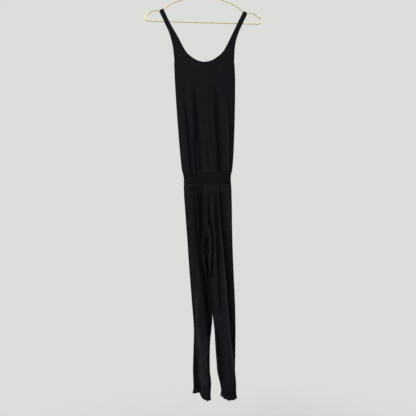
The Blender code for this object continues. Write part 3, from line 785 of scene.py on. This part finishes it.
# ---- waistband
waistband = {
    "top": -759.5,
    "bottom": -795.5,
    "columns": 360,
    "rows": 36,
    "nipHeight": 6.0,
    "seamTurn": 0.04,  # sine of the angle over which the band closes at a side seam
    "swell": 0.5,
    "gatherReach": 14.0,
    "ripple": (83, 0.35),  # seed, amount
    "rippleFade": 9.0,
    "level": 0.33,  # painted light of the plain band
    "puckerShade": 6.0,  # a pucker this deep takes one off the painted light: painted shade in the puckers
    "paleness": (0.24, 12.0, 20.0),  # a paler stretch: how much, x, half width
    "puckers": (
        # depth, x, height, half width, half height
        (-1.6, 62.4, -780, 2.2, 3.4), (1.5, 56.3, -775, 2.0, 4.5), (1.4, 68.2, -785, 2.0, 4.0),
        (-1.2, -71.0, -786, 2.0, 4.0), (1.2, -76.7, -780, 1.8, 4.0), (1.0, -63.7, -786, 1.8, 4.0),
    ),
}


def ringAngles(columns):
    half = columns // 2
    front = np.linspace(0, math.pi, half + 1)
    wall = np.where(np.arange(columns) <= half, -1, 1)
    angle = np.concatenate((front, front[-2:0:-1]))
    return angle, wall


def makeWaistband(finish):
    top, bottom = waistband["top"], waistband["bottom"]
    angle, wall = ringAngles(waistband["columns"])
    z = np.linspace(top, bottom, waistband["rows"] + 1)[:, None] + 0 * angle[None, :]
    front, back = [bodiceSection(z, angle[None, :], way) for way in wallNames]
    x, y = [np.where(wall < 0, ahead, behind) for ahead, behind in zip(front, back)]
    fromEdge = np.minimum(top - z, z - bottom)
    edge = np.sin(angle)[None, :]
    nip = cloth["nip"] * ease(1 - fromEdge / waistband["nipHeight"])
    swell = waistband["swell"] * np.sin(math.pi * (top - z) / (top - bottom))
    reach = waistband["gatherReach"]
    pleat = waistGathers("upper", x, top - z, reach, wall)
    pleat = pleat + waistGathers("lower", x, z - bottom, reach, wall)
    seed, amount = waistband["ripple"]
    ripple = crinkle(x, z, seed, amount) * ease(fromEdge / waistband["rippleFade"])
    pucker = np.where(wall < 0, puckerDepth(waistband["puckers"], x, z), 0.0)
    y = y + (swell - nip + pleat + ripple - pucker) * ease(edge / cloth["seamFade"])
    y = y * ease(edge / waistband["seamTurn"])
    left, right = [read(z) for read in bodiceColumns[:2]]
    # The band's colour level: paler along a stretch of its front, with painted shade in the puckers
    # and beside the side seams.
    paleness, middle, reach = waistband["paleness"]
    proud = waistband["level"] + paleness * np.exp(-(((x - middle) / reach) ** 2))
    proud = proud - pucker / waistband["puckerShade"] - paintedSeamShade(x, left, right) / 2
    sheet = (settle(x, wall * y, z), proud)
    return clothPiece("waistband", [sheet], finish, closed=True)


# ---- trousers
trousers = {
    "bottom": -1530.0,
    "seamStep": 0.4,  # width of the column along the centre seam
    "foldStart": 14.0,  # a fold has its shade from the waist, and its depth only below
    "foldRise": 8,  # how soon relief has its full depth, from a panel's edges
    "rippleRise": 9,
    "gatherRise": 30,
    "rippleStart": 9.0,
    "seeds": {"front": 5, "back": 45},
    "gatherReach": 34.0,
    "cuffNip": 3.0,  # the cloth turns in over this height above the cuff
    "paintedInseamShadow": (0.45, 16.0),  # painted shadow of the other leg at the inseam, over what width
    "crotchStart": -925.0,
    "crotchPoint": -1040.0,
    "columns": 96,
    "rows": 250,
    "typicalFront": (78.0, 25.0),  # ovals that the columns divide evenly: half width, depth
    "typicalLeg": (40.0, 23.0),
    "sections": (
        # height, left outer, left inner, right inner, right outer, front, back
        (-795.5, -90.6, -5.0, -5.0, 83.4, 14.0, 12.5),
        (-803.0, -91.4, -6.0, -6.0, 84.0, 15.5, 14.0),
        (-830.0, -91.1, -8.5, -8.5, 84.2, 18.5, 16.5),
        (-880.0, -88.7, -12.5, -12.5, 84.2, 20.5, 18.5),
        (-940.0, -85.8, -15.0, -15.0, 83.6, 21.5, 19.5),
        (-1000.0, -82.5, -14.5, -14.5, 83.4, 22.0, 20.0),
        (-1060.0, -79.9, -13.0, -13.0, 84.0, 22.0, 20.0),
        (-1118.0, -77.1, -11.0, -11.0, 85.1, 21.5, 20.0),
        (-1160.0, -74.7, -7.6, -7.6, 86.1, 21.0, 19.5),
        (-1200.0, -72.4, -2.8, -2.8, 87.2, 20.5, 19.0),
        (-1245.0, -69.9, 2.0, 2.0, 88.0, 20.0, 18.5),
        (-1278.0, -67.8, 3.0, 4.4, 88.1, 19.0, 18.0),
        (-1330.0, -66.0, -2.6, 9.8, 87.6, 18.0, 17.0),
        (-1400.0, -69.0, -9.0, 12.4, 85.6, 17.0, 16.0),
        (-1450.0, -71.6, -10.4, 15.0, 83.4, 16.0, 15.0),
        (-1480.0, -73.0, -10.6, 16.4, 82.4, 15.5, 14.5),
        (-1510.0, -72.4, -7.6, 21.8, 84.2, 14.5, 13.5),
        (-1530.0, -72.2, -7.0, 26.4, 85.4, 13.5, 12.5),
        (-1550.0, -72.3, -8.8, 29.0, 85.0, 12.5, 12.0),
        (-1580.0, -72.0, -10.4, 31.0, 84.6, 13.0, 12.5),
        (-1600.0, -71.6, -10.8, 32.0, 84.2, 13.5, 13.0),
    ),
    "puckers": (
        # depth, x, height, half width, half height
        (6.5, -13.4, -977, 2.4, 10), (6.5, -19.4, -999, 2.4, 10), (11.5, -7.7, -1001, 4.4, 13),
        (10.5, -9.3, -1022, 4.8, 6), (8.0, -19.9, -1022, 3.0, 5), (-3.0, -14.6, -1029, 2.4, 4),
        (-3.4, 2.6, -1028, 2.8, 6), (9.0, -21.8, -1042, 4.0, 9), (9.5, -8.7, -1041, 4.2, 9),
        (6.0, -15.8, -1051, 3.6, 7), (-3.2, -22.7, -1065, 3.6, 7), (7.5, -12.8, -1081, 4.8, 14),
        (1.4, -77.3, -806, 2.2, 5), (-1.6, -73.1, -813, 2.2, 5), (1.4, -67.4, -817, 2.0, 5),
        (-1.4, -65.0, -806, 2.0, 5), (1.2, -74.1, -824, 2.0, 5),
    ),
    "creases": {
        # the same values as in the bodice's
        "front": (
            # the left edge stays full
            (-1.6, 5.0, 12.0, 4, 90, (-797, -88.0), (-862, -86.6), (-949, -82.1), (-1037, -77.5),
             (-1124, -73.7), (-1218, -67.1)),
            # left of the crotch: a narrow fold, the broad hollow and the deep fold in it
            (2.2, 6.0, 5.5, 20, 50, (-797, -53.8), (-862, -50.6), (-950, -47.8), (-1008, -47.7)),
            (7.5, 30.0, 11.0, 24, 70, (-797, -29.8), (-862, -26.1), (-950, -27.0), (-1059, -32.4)),
            (10.5, 12.5, 5.0, 80, 70, (-797, -26.5), (-862, -25.0), (-950, -25.2), (-993, -27.7),
             (-1037, -30.8), (-1081, -28.9), (-1124, -23.3), (-1168, -17.0), (-1212, -11.4),
             (-1255, -7.3), (-1292, -4.5), (-1335, -4.4), (-1386, -4.5)),
            (4.0, 16.0, 9.0, 40, 60, (-1132, -14.0), (-1212, -6.7), (-1292, -0.8), (-1379, -2.8)),
            # right of the crotch: three folds, the last with a ridge beside it
            (8.5, 4.5, 6.0, 90, 60, (-811, -2.3), (-862, -0.5), (-906, -0.8), (-950, 2.6),
             (-993, 8.9), (-1037, 8.6), (-1081, 5.1), (-1124, 3.7), (-1183, 3.9)),
            (6.6, 6.5, 8.5, 90, 110, (-797, 25.9), (-862, 27.3), (-950, 28.2), (-993, 30.5),
             (-1037, 31.0), (-1125, 31.6), (-1212, 33.2), (-1311, 34.7)),
            (11.0, 4.0, 15.0, 60, 90, (-797, 40.2), (-862, 43.4), (-950, 47.3), (-994, 51.1),
             (-1037, 53.4), (-1081, 56.8), (-1125, 59.5), (-1169, 62.2), (-1213, 63.4),
             (-1293, 68.2), (-1381, 74.3), (-1439, 79.5)),
            (-6.0, 5.0, 3.0, 230, 60, (-840, 33.7), (-950, 40.3), (-1037, 46.1), (-1125, 51.8),
             (-1169, 54.1), (-1212, 56.4), (-1256, 59.8), (-1337, 66.4), (-1424, 74.0),
             (-1505, 77.3)),
            (-5.0, 5.5, 3.4, 26, 60, (-796, 75.5), (-862, 75.1), (-950, 76.4), (-1019, 79.6)),
            # the pouch of the crotch: two raised borders
            (-5.0, 2.8, 3.8, 50, 40, (-855, -16.5), (-913, -18.5), (-950, -20.8), (-975, -23.6),
             (-1001, -26.0), (-1026, -28.8), (-1059, -27.7), (-1081, -23.8), (-1106, -19.6),
             (-1146, -12.1)),
            (-4.2, 2.8, 4.0, 26, 16, (-913, -9.8), (-950, -12.1), (-979, -14.5), (-1001, -15.8),
             (-1022, -17.4)),
            (-4.4, 2.8, 2.4, 16, 20, (-942, -3.8), (-971, 1.4), (-1001, 5.1), (-1026, 5.6),
             (-1070, 0.2), (-1103, -3.1), (-1139, -5.4)),
            (-2.6, 5.0, 4.0, 60, 60, (-840, 9.5), (-906, 11.6), (-950, 14.3), (-1037, 17.4),
             (-1125, 16.9)),
            # the broad hollow where the two legs part
            (6.0, 14.0, 12.0, 60, 90, (-1088, -18.5), (-1168, -9.0), (-1212, -9.3), (-1255, -6.6),
             (-1328, -2.0)),
            # the ridge down the left leg, and the hollow strip beside it
            (-5.4, 4.6, 15.0, 110, 1, (-1146, -54.5), (-1211, -53.1), (-1291, -53.4),
             (-1378, -48.8), (-1422, -45.1), (-1466, -43.5), (-1502, -42.2), (-1538, -39.4),
             (-1597, -34.8)),
            (-4.8, 3.4, 4.2, 60, 60, (-1167, -60.8), (-1218, -58.3), (-1291, -56.3), (-1335, -56.6),
             (-1378, -56.5), (-1422, -54.2), (-1465, -51.6), (-1502, -47.3), (-1546, -43.2)),
            (-3.4, 14.0, 5.0, 60, 1, (-1321, -15.4), (-1423, -19.9), (-1503, -19.5),
             (-1597, -19.5)),
            (9.0, 6.0, 4.5, 90, 1, (-1313, -66.3), (-1378, -64.9), (-1422, -61.5), (-1465, -58.8),
             (-1502, -56.8), (-1538, -51.0), (-1596, -48.0)),
            (5.5, 7.0, 6.0, 30, 1, (-1480, -65.7), (-1538, -61.2), (-1596, -59.6)),
            # the inseam edge of the right leg stays full, and a hollow strip runs beside it
            (-3.0, 4.0, 5.0, 30, 60, (-1263, 5.7), (-1336, 12.1), (-1423, 15.6), (-1504, 24.4),
             (-1548, 30.7)),
            (7.5, 8.0, 14.0, 60, 40, (-1299, 16.6), (-1336, 20.9), (-1380, 25.0), (-1424, 28.4),
             (-1467, 32.6), (-1504, 35.4), (-1548, 38.8)),
        ),
        "back": (
            (8.0, 8.0, 8.0, 30, 70, (-797, -52.0), (-980, -46.0), (-1140, -43.0), (-1300, -40.0)),
            (8.5, 6.0, 7.0, 40, 60, (-800, -8.0), (-930, 0.0), (-1070, -4.0)),
            (8.0, 7.5, 7.0, 24, 80, (-797, 44.0), (-940, 44.5), (-1080, 46.0), (-1250, 51.0),
             (-1440, 58.0)),
            (5.0, 5.0, 5.0, 30, 90, (-800, 20.0), (-900, 22.5), (-1060, 24.0), (-1220, 27.0)),
            (4.5, 5.0, 6.0, 30, 90, (-800, -28.0), (-900, -27.0), (-1040, -24.0)),
            (3.5, 6.0, 5.0, 40, 90, (-805, 68.0), (-960, 67.0), (-1150, 71.0)),
            (6.0, 7.0, 7.0, 80, 60, (-1160, -18.0), (-1330, -26.0), (-1520, -34.0)),
            (5.0, 6.0, 6.0, 80, 60, (-1130, 20.0), (-1300, 34.0), (-1480, 42.0)),
            (-2.0, 5.0, 5.0, 100, 60, (-1180, -50.0), (-1350, -50.0), (-1520, -54.0)),
        ),
    },
}


trouserColumns = columnsOf(trousers["sections"])


def legShape(side, wall, z):  # x, distance from the hanging plane, closing: rows by columns
    leftOuter, leftInner, rightInner, rightOuter, front, rear = trouserColumns
    outer = (leftOuter if side < 0 else rightOuter)(z)[:, None]
    inner = (leftInner if side < 0 else rightInner)(z)[:, None]
    depth = (front if wall < 0 else rear)(z)[:, None]
    start, point = trousers["crotchStart"], trousers["crotchPoint"]
    closing = ease((start - z) / (start - point))[:, None]
    half = evenAngles(0, math.pi / 2, trousers["columns"], *trousers["typicalFront"])[None, :]
    whole = evenAngles(0, math.pi, trousers["columns"], *trousers["typicalLeg"])[None, :]
    halfX, halfY = inner + (outer - inner) * flatten(np.cos(half)), depth * flatten(np.sin(half))
    middle, reach = (outer + inner) / 2, (outer - inner) / 2
    wholeX, wholeY = middle + reach * flatten(np.cos(whole)), depth * flatten(np.sin(whole))
    return mix(halfX, wholeX, closing), cloth["tuck"] + mix(halfY, wholeY, closing), closing


def legPanel(side, wall):
    name = wallNames[wall]
    top, bottom = waistband["bottom"], trousers["bottom"]
    level = np.linspace(top, bottom, trousers["rows"] + 1)
    x, y, closing = legShape(side, wall, level)
    inner = x[:, -1:].copy()
    x[:, -1:] += side * trousers["seamStep"] * (1 - closing)
    x, y = np.hstack((x, inner)), np.hstack((y, y[:, -1:]))
    z = level[:, None] + 0 * x
    share = np.minimum(np.arange(x.shape[1])[None, :] / trousers["columns"], 1.0)
    fromEdge = np.minimum(share, 1 - share * closing)
    fade = ease(fromEdge * trousers["foldRise"])
    creases = trousers["creases"][name]
    depth = creaseDepth(creases, x, z) * fade
    if wall < 0:
        depth = depth + puckerDepth(trousers["puckers"], x, z)
    ripple = crinkle(x, z, trousers["seeds"][name]) * ease(fromEdge * trousers["rippleRise"])
    ripple = ripple * ease((top - z) / trousers["rippleStart"])
    gatherFade = ease(fromEdge * trousers["gatherRise"])
    pleat = waistGathers("lower", x, top - z, trousers["gatherReach"], wall) * gatherFade
    nip = ease(1 - (top - z) / cloth["nipHeight"]) + ease(1 - (z - bottom) / trousers["cuffNip"])
    y = y - depth + ripple + pleat - cloth["nip"] * nip * gatherFade
    y = np.maximum(y, cloth["clearance"])
    y[:, -1:] *= 1 - closing
    # Painted light: painted shade in the folds from the waist down, paler on ridges, a painted
    # shadow at the inseam and painted shade at the side seams.
    foldTop = top - trousers["foldStart"]
    shade = np.where(z > foldTop, creaseDepth(creases, x, np.minimum(z, foldTop)) * fade, depth)
    amount, width = trousers["paintedInseamShadow"]
    inseamShadow = amount * closing * ease(1 - np.abs(x - inner) / width)
    left, right = [trouserColumns[n](level)[:, None] for n in (0, 3)]
    proud = proudness(shade - ripple - pleat) - inseamShadow - paintedSeamShade(x, left, right)
    x, y, z, proud = [np.hstack((grid[:, :1], grid)) for grid in (x, y, z, proud)]
    y[:, 0] = 0.0
    points = settle(x, wall * y, z)
    if side > 0:
        points, proud = points[:, ::-1], proud[:, ::-1]
    return points, proud


def makeTrousers(finish):
    pieces = []
    for side, sideName in sideNames.items():
        for wall, wallName in wallNames.items():
            node, sheet = f"leg_{sideName}_{wallName}", legPanel(side, wall)
            pieces.append(clothPiece(node, [sheet], finish, back=wall > 0))
    return pieces


# ---- cuffs
cuffs = {
    "columns": 340,
    "bandRows": 16,
    "frillRows": 30,
    "frill": 22.0,  # height of the frill below the band
    "leastBand": 2.0,
    "foldFade": 0.35,  # sine of the section's angle where folds have their full depth
    "reliefFade": 0.2,
    "tuckRise": 6,
    "waves": 13,
    "waveOut": 3.4,
    "drift": ((0.9, 2, 0.4), (0.7, 3, 2.0)),  # the waves drift: how far, times round, start
    "uneven": (0.8, 0.35, 5, 1.0),  # their depth: mean, change, times round, start
    "curlWaves": 37,
    "curlOut": 1.3,
    "spread": 2.2,
    "dip": 0.9,  # the edge hangs lower between waves
    "seamNip": (3.0, 5.0),  # the cloth turns in at the frill's seam: how far, over what height
    "topNip": (0.3, 3.0),
    "gather": (18.0, 0.35, 131),  # reach, amount, seed
    "ripple": (0.4, 151),  # amount, seed
    "edgeRadius": 1.3,
    "edgeLift": 0.6,  # share of the radius
    "edgePitch": 1.6,
    # The cuffs' painted light: the left cuff's face is painted paler as it turns towards the light.
    "paleness": {-1: 0.85, 1: 0.45},
    "frillShading": (0.08, 0.1, 0.2),  # painted highlight on the waves and the frill, painted shade at the nips
    "flare": {-1: (0.7, 0.15), 1: (0.8, 0.35)},  # spread of the frill's left and right end
    "hems": {
        # x, height
        -1: ((-74.0, -1560.0), (-62.0, -1558.6), (-52.0, -1557.4), (-48.5, -1559.5),
             (-45.0, -1569.0), (-39.0, -1576.0), (-31.0, -1581.5), (-20.0, -1584.5),
             (-9.0, -1584.0)),
        1: ((26.0, -1571.5), (34.0, -1578.5), (46.0, -1584.6), (64.0, -1586.4),
            (78.0, -1584.4), (87.0, -1576.5)),
    },
}


def cuffSection(side, z, angle, wall):
    leftOuter, leftInner, rightInner, rightOuter, front, rear = [read(z) for read in trouserColumns]
    left, right = (leftOuter, leftInner) if side < 0 else (rightInner, rightOuter)
    depth = np.where(wall < 0, front, rear) * flatten(np.sin(angle))
    x = (left + right) / 2 - (right - left) / 2 * flatten(np.cos(angle))
    ahead, behind = [creaseDepth(trousers["creases"][name], x, z) for name in wallNames.values()]
    crease = np.where(wall < 0, ahead, behind) * ease(np.sin(angle) / cuffs["foldFade"])
    tuck = cloth["tuck"] * np.minimum(1.0, np.sin(angle) * cuffs["tuckRise"])
    return x, tuck + depth - crease, crease


def makeCuff(side, finish):
    top = trousers["bottom"]
    angle, wall = [row[None, :] for row in ringAngles(cuffs["columns"])]
    x, _, _ = cuffSection(side, np.full(angle.shape, top), angle, wall)
    hem = curveThrough(cuffs["hems"][side])(x)
    seam = np.minimum(hem + cuffs["frill"], top - cuffs["leastBand"])
    band = np.linspace(0, 1, cuffs["bandRows"] + 1)[:, None]
    fall = np.linspace(0, 1, cuffs["frillRows"] + 1)[1:, None]
    z = np.vstack((mix(top, seam, band), mix(seam, hem, fall)))
    down = np.vstack((np.zeros_like(band), fall)) + 0 * z
    x, y, crease = cuffSection(side, z, angle, wall)
    turn = math.tau * np.arange(cuffs["columns"])[None, :] / cuffs["columns"]
    drift = sum(far * np.sin(turn * times + start) for far, times, start in cuffs["drift"])
    mean, change, times, start = cuffs["uneven"]
    wave = np.sin(turn * cuffs["waves"] + drift) * (mean + change * np.sin(turn * times + start))
    curl = np.sin(turn * cuffs["curlWaves"] + 3 * drift)
    out = wave * cuffs["waveOut"] * down**1.3 + curl * cuffs["curlOut"] * down**4
    out = out + cuffs["spread"] * down
    dip = cuffs["dip"] * np.cos(turn * cuffs["waves"] + drift) * down**2
    (seamNip, seamHeight), (topNip, topHeight) = cuffs["seamNip"], cuffs["topNip"]
    nip = seamNip * ease(1 - np.abs(z - seam) / seamHeight)
    nip = nip + topNip * ease(1 - (top - z) / topHeight)
    reach, depth, seed = cuffs["gather"]
    pleat = gathers(x, np.where(z > seam, reach, seam - z), reach, seed + side) * depth
    amount, seed = cuffs["ripple"]
    relief = crinkle(x, z, seed + side, amount) + pleat - nip
    y = y + relief * ease(np.sin(angle) / cuffs["reliefFade"])
    acrossX = -np.cos(angle)
    flare = np.where(acrossX < 0, *cuffs["flare"][side])
    points = settle(x + acrossX * flare * out, wall * (y + np.sin(angle) * out), z - dip)
    # Painted light: painted shade in the creases and at the nips, painted highlight on the waves
    # and the frill.
    outLight, frillLight, nipShade = cuffs["frillShading"]
    proud = cuffs["paleness"][side] - crease / cloth["foldDepth"] + out * outLight + down * frillLight
    proud = np.clip(proud - nip * nipShade, 0.0, 1.0)
    node = f"cuff_{sideNames[side]}"
    return clothPiece(node, [(points, proud)], finish, closed=True), points


# ---- tubes, edges and stitches
def tubeFaces(rings, sides, closed):
    index = np.arange(rings * sides).reshape(rings, sides)
    after = np.roll(index, -1, 1)
    upper, lower = (index, np.roll(index, -1, 0)) if closed else (index[:-1], index[1:])
    upperAfter, lowerAfter = (after, np.roll(after, -1, 0)) if closed else (after[:-1], after[1:])
    return np.stack((upper, lower, lowerAfter, upperAfter), -1).reshape(-1, 4)


def tubeRings(path, radius, sides, closed=False):  # rings of points around a path, without twist
    path = np.asarray(path, float)
    count = len(path)
    if closed:
        forward = np.roll(path, -1, 0) - np.roll(path, 1, 0)
    else:
        forward = np.gradient(path, axis=0)
    forward /= np.linalg.norm(forward, axis=1)[:, None]
    radius = np.broadcast_to(radius, (count,))
    side = np.cross(forward[0], (0.0, 0.0, 1.0))
    if np.linalg.norm(side) < 0.1:
        side = np.cross(forward[0], (1.0, 0.0, 0.0))
    angle = np.arange(sides) * math.tau / sides
    rings = []
    for place, ahead, reach in zip(path, forward, radius):
        side = side - ahead * side.dot(ahead)
        side /= np.linalg.norm(side)
        other = np.cross(ahead, side)
        spokes = np.cos(angle)[:, None] * side + np.sin(angle)[:, None] * other
        rings.append(place + reach * spokes)
    return np.array(rings)


def joinTubes(name, tubes, finish, closed=False):  # each tube is its rings of points
    points, faces, start = [], [], 0
    for rings in tubes:
        count, sides = rings.shape[:2]
        points.append(rings.reshape(-1, 3))
        faces.append(start + tubeFaces(count, sides, closed))
        start += count * sides
    return addPiece(name, np.concatenate(points), np.concatenate(faces), finish)


def roundedTube(path, radius, sides):  # a tube's rings, with rounded ends
    path = np.asarray(path, float)
    lead, trail = path[0] - path[1], path[-1] - path[-2]
    lead, trail = lead / np.linalg.norm(lead), trail / np.linalg.norm(trail)
    bends = np.radians((90, 72, 50, 25))
    head = [path[0] + lead * radius * math.sin(a) for a in bends]
    tail = [path[-1] + trail * radius * math.sin(a) for a in bends[::-1]]
    tips = radius * np.cos(np.radians((88, 72, 50, 25)))  # the end's last ring stays just open
    width = np.concatenate((tips, np.full(len(path), radius), tips[::-1]))
    return tubeRings(np.vstack((head, path, tail)), width, sides)


def alongPath(path):  # each point's distance from the start
    return np.concatenate(([0.0], np.cumsum(np.linalg.norm(np.diff(path, axis=0), axis=1))))


def resample(path, pitch, closed=False):
    path = np.asarray(path, float)
    if closed:
        path = np.vstack((path, path[:1]))
    along = alongPath(path)
    count = max(2, round(along[-1] / pitch))
    places = np.linspace(0, along[-1], count, endpoint=not closed)
    return np.stack([np.interp(places, along, path[:, n]) for n in range(3)], 1)


def surfaceOf(piece):
    mesh = piece.data
    points = [v.co.copy() for v in mesh.vertices]
    return BVHTree.FromPolygons(points, [tuple(p.vertices) for p in mesh.polygons])


def inFromEdge(edge, surface, distance):  # a line on the cloth at a distance from its edge
    path = np.asarray(edge, float)
    ahead = np.gradient(path, axis=0)
    inside = []
    for place, along in zip(path, ahead):
        found, normal, _, _ = surface.find_nearest(Vector(place))
        across = normal.cross(Vector(along)).normalized()
        tries = [surface.find_nearest(found + across * way * distance) for way in (-1, 1)]
        gains = [(spot - found).length for spot, _, _, _ in tries]
        spot, facing, _, _ = tries[0] if gains[0] > gains[1] else tries[1]
        inside.append((*spot, *facing))
    return np.array(inside)


stitch = {
    "pitch": 3.2,
    "length": 2.3,
    "radius": 0.24,
    "proud": 0.16,
    "sides": 5,
    "profile": (
        # place along its half length, share of proud, share of radius
        (-1.0, -0.6, 0.45), (-0.7, 0.6, 0.9), (0.0, 1.0, 1.0), (0.7, 0.6, 0.9), (1.0, -0.6, 0.45),
    ),
}


def stitchRows(name, lines, finish):  # each line is points with normals
    place, rise, width = np.array(stitch["profile"]).T
    reach = stitch["length"] * mm / 2
    tubes = []
    for line in lines:
        along = alongPath(line[:, :3])
        count = int(along[-1] / (stitch["pitch"] * mm))
        for middle in (np.arange(count) + 0.5) * along[-1] / count:
            spots = middle + place * reach
            ring = np.stack([np.interp(spots, along, line[:, n]) for n in range(6)], 1)
            facing = ring[:, 3:] / np.linalg.norm(ring[:, 3:], axis=1)[:, None]
            centre = ring[:, :3] + facing * (rise * stitch["proud"] * mm)[:, None]
            tubes.append(tubeRings(centre, width * stitch["radius"] * mm, stitch["sides"]))
    return joinTubes(name, tubes, finish)


# ---- hanger
hanger = {
    "diameter": 3.6,
    "hookRadius": 19.0,  # inner
    "hookTurn": (205, -41, -5),  # angles along the hook: start, end, step
    "stem": (
        # x, height: from the hook down to the left arm
        (8.6, -42.5), (2.0, -52.0), (0.0, -64.0), (0.0, -86.0), (-1.2, -91.6), (-6.0, -95.0),
        (-16.0, -98.2),
    ),
    "coilLead": ((30, 0, -102.5), (14.0, 1.8, -96.0), (6.0, 3.6, -91.5)),  # from the right arm
    "coilBottom": -86.5,
    "coilTurns": 3.25,
    "coilSteps": 9,  # in a turn
    "coilPitch": 4.1,
    "coilClearance": 0.4,
    "rod": -200.8,
    "rodEnd": 180,
    "rodPoints": 41,
    "sides": 20,
    "armEnd": -180.0,  # the straps rest on the arm above this height
    "arm": (
        # out, height: the arm ends behind the notch and hump
        (30, -102.5), (50, -109.5), (67, -115.6), (97, -126.2), (119, -136.0), (133, -145.0),
        (145, -155.4), (153, -159.8), (160, -163.3), (165, -164.2), (172, -161.2), (180, -161.6),
        (190, -166.0), (200, -172.4), (209, -179.6), (214.6, -187.4), (213.2, -195.4),
        (205, -200.2), (190, -200.8),
    ),
}


def smoothRoute(points, steps):  # Catmull-Rom curve through a list of points
    points = [np.array(p, float) for p in points]
    padded = [2 * points[0] - points[1]] + points + [2 * points[-1] - points[-2]]
    route = []
    for a, b, c, d in zip(padded, padded[1:], padded[2:], padded[3:]):
        for t in np.arange(steps) / steps:
            bend = (c - a) * t + (2 * a - 5 * b + 4 * c - d) * t**2 + (3 * b - a - 3 * c + d) * t**3
            route.append(0.5 * (2 * b + bend))
    return route + [points[-1]]


def wireHeight(out):  # height of the wire's middle on the arm, before the tilt
    arm = [p for p in smoothRoute(hanger["arm"], 2) if p[1] > hanger["armEnd"]]
    return np.interp(out, [p[0] for p in arm], [p[1] for p in arm])


def makeHanger(finish):
    radius = hanger["hookRadius"] + hanger["diameter"] / 2
    turns = np.radians(np.arange(*hanger["hookTurn"]))
    seat = -hanger["hookRadius"]
    route = [np.array((radius * math.cos(a), 0, seat + radius * math.sin(a))) for a in turns]
    route += smoothRoute([(x, 0, height) for x, height in hanger["stem"]], 6)
    arm, end = smoothRoute(hanger["arm"], 6), hanger["rodEnd"]
    route += [np.array((-out, 0, height)) for out, height in arm]
    route += [np.array((x, 0, hanger["rod"])) for x in np.linspace(-end, end, hanger["rodPoints"])]
    route += [np.array((out, 0, height)) for out, height in reversed(arm)]
    # the wire's end winds round the stem
    coil = hanger["diameter"] + hanger["coilClearance"]
    perTurn = hanger["coilSteps"]
    winding = []
    for step in np.arange(0, round(hanger["coilTurns"] * perTurn) + 0.01, 0.25):
        turn = math.pi / 2 + math.tau * step / perTurn
        height = hanger["coilBottom"] + hanger["coilPitch"] * step / perTurn
        winding.append(np.array((coil * math.cos(turn), coil * math.sin(turn), height)))
    route += smoothRoute([*hanger["coilLead"], winding[0]], 4)[1:-1] + winding
    tilt = Matrix.Rotation(math.radians(cloth["tilt"]), 3, "Y")
    path = [tilt @ Vector(p) * mm for p in route]
    rings = roundedTube(path, hanger["diameter"] / 2 * mm, hanger["sides"])
    piece = joinTubes("hanger_wire", [rings], finish)
    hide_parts("hanger")


# ---- sewing
sewing = {
    "edgeRadius": 1.0,
    "edgeSides": 8,
    "edgePitch": 2.2,
    "neckDrop": 0.8,  # the neckline's rolled edge lies this far below the raw edge
    "linePitch": 3.0,
    "fromEdge": 4.6,  # distance of the stitches from the raw edge
}


def makeCuffEdge(side, points, finish):  # the rolled edge of a cuff's frill
    inwards = np.array((0.0, 0.0, cuffs["edgeLift"] * cuffs["edgeRadius"] * mm))
    line = resample(points[-1] + inwards, cuffs["edgePitch"] * mm, closed=True)
    rings = tubeRings(line, cuffs["edgeRadius"] * mm, sewing["edgeSides"], closed=True)
    return joinTubes(f"cuff_{sideNames[side]}_edge", [rings], finish, closed=True)


def edgeLines(sheets):  # the raw edges of one side of the bodice: neckline, left and right armhole
    body, left, right = [points for points, _ in sheets]
    sides = bodice["sideColumns"]
    scoop = body[0, sides + 1:-(sides + 1)]
    return np.vstack((left[:, -1], scoop[1:-1], right[::-1, 0])), left[:, 0], right[:, -1]


def makeBodiceEdges(pieces, rollFinish, stitchFinish):
    made = {}
    for wall, (piece, sheets) in pieces.items():
        name, surface = f"bodice_{wallNames[wall]}", surfaceOf(piece)
        lines = edgeLines(sheets)
        inwards = np.array((0.0, -wall * cloth["wall"] / 2 * mm, 0.0))
        paths = [resample(line, sewing["edgePitch"] * mm) + inwards for line in lines]
        paths[0][:, 2] -= sewing["neckDrop"] * mm
        radius, sides = sewing["edgeRadius"] * mm, sewing["edgeSides"]
        tubes = [roundedTube(path, radius, sides) for path in paths]
        roll = joinTubes(f"{name}_edges", tubes, rollFinish)
        rows = [resample(line, sewing["linePitch"] * mm)[2:-2] for line in lines]
        rows = [inFromEdge(row, surface, sewing["fromEdge"] * mm) for row in rows]
        stitches = stitchRows(f"{name}_stitches", rows, stitchFinish)
        made[wall] = [roll, stitches]
    return made


print("studio")
makeCamera()
for name, light in studio["lights"].items():
    makeLight(name, *light)
makeBackdrop()
makeFloor(floorFinish())

print("finishes")
blackKnit = knitFinish("blackKnit", knit)
blackRib = knitFinish("blackRib", rib)
blackThread = threadFinish("blackThread", thread)
blackEdging = threadFinish("blackEdging", edging)
goldWire = wireFinish()

print("bodice")
bodicePieces = makeBodice(blackKnit)
bodiceEdges = makeBodiceEdges(bodicePieces, blackEdging, blackThread)

print("waistband")
waistbandPiece = makeWaistband(blackRib)

print("trousers")
legPieces = makeTrousers(blackKnit)

print("cuffs")
cuffPieces = {side: makeCuff(side, blackRib) for side in sideNames}
cuffEdges = {side: makeCuffEdge(side, cuffPieces[side][1], blackEdging) for side in sideNames}

print("hanger")
makeHanger(goldWire)
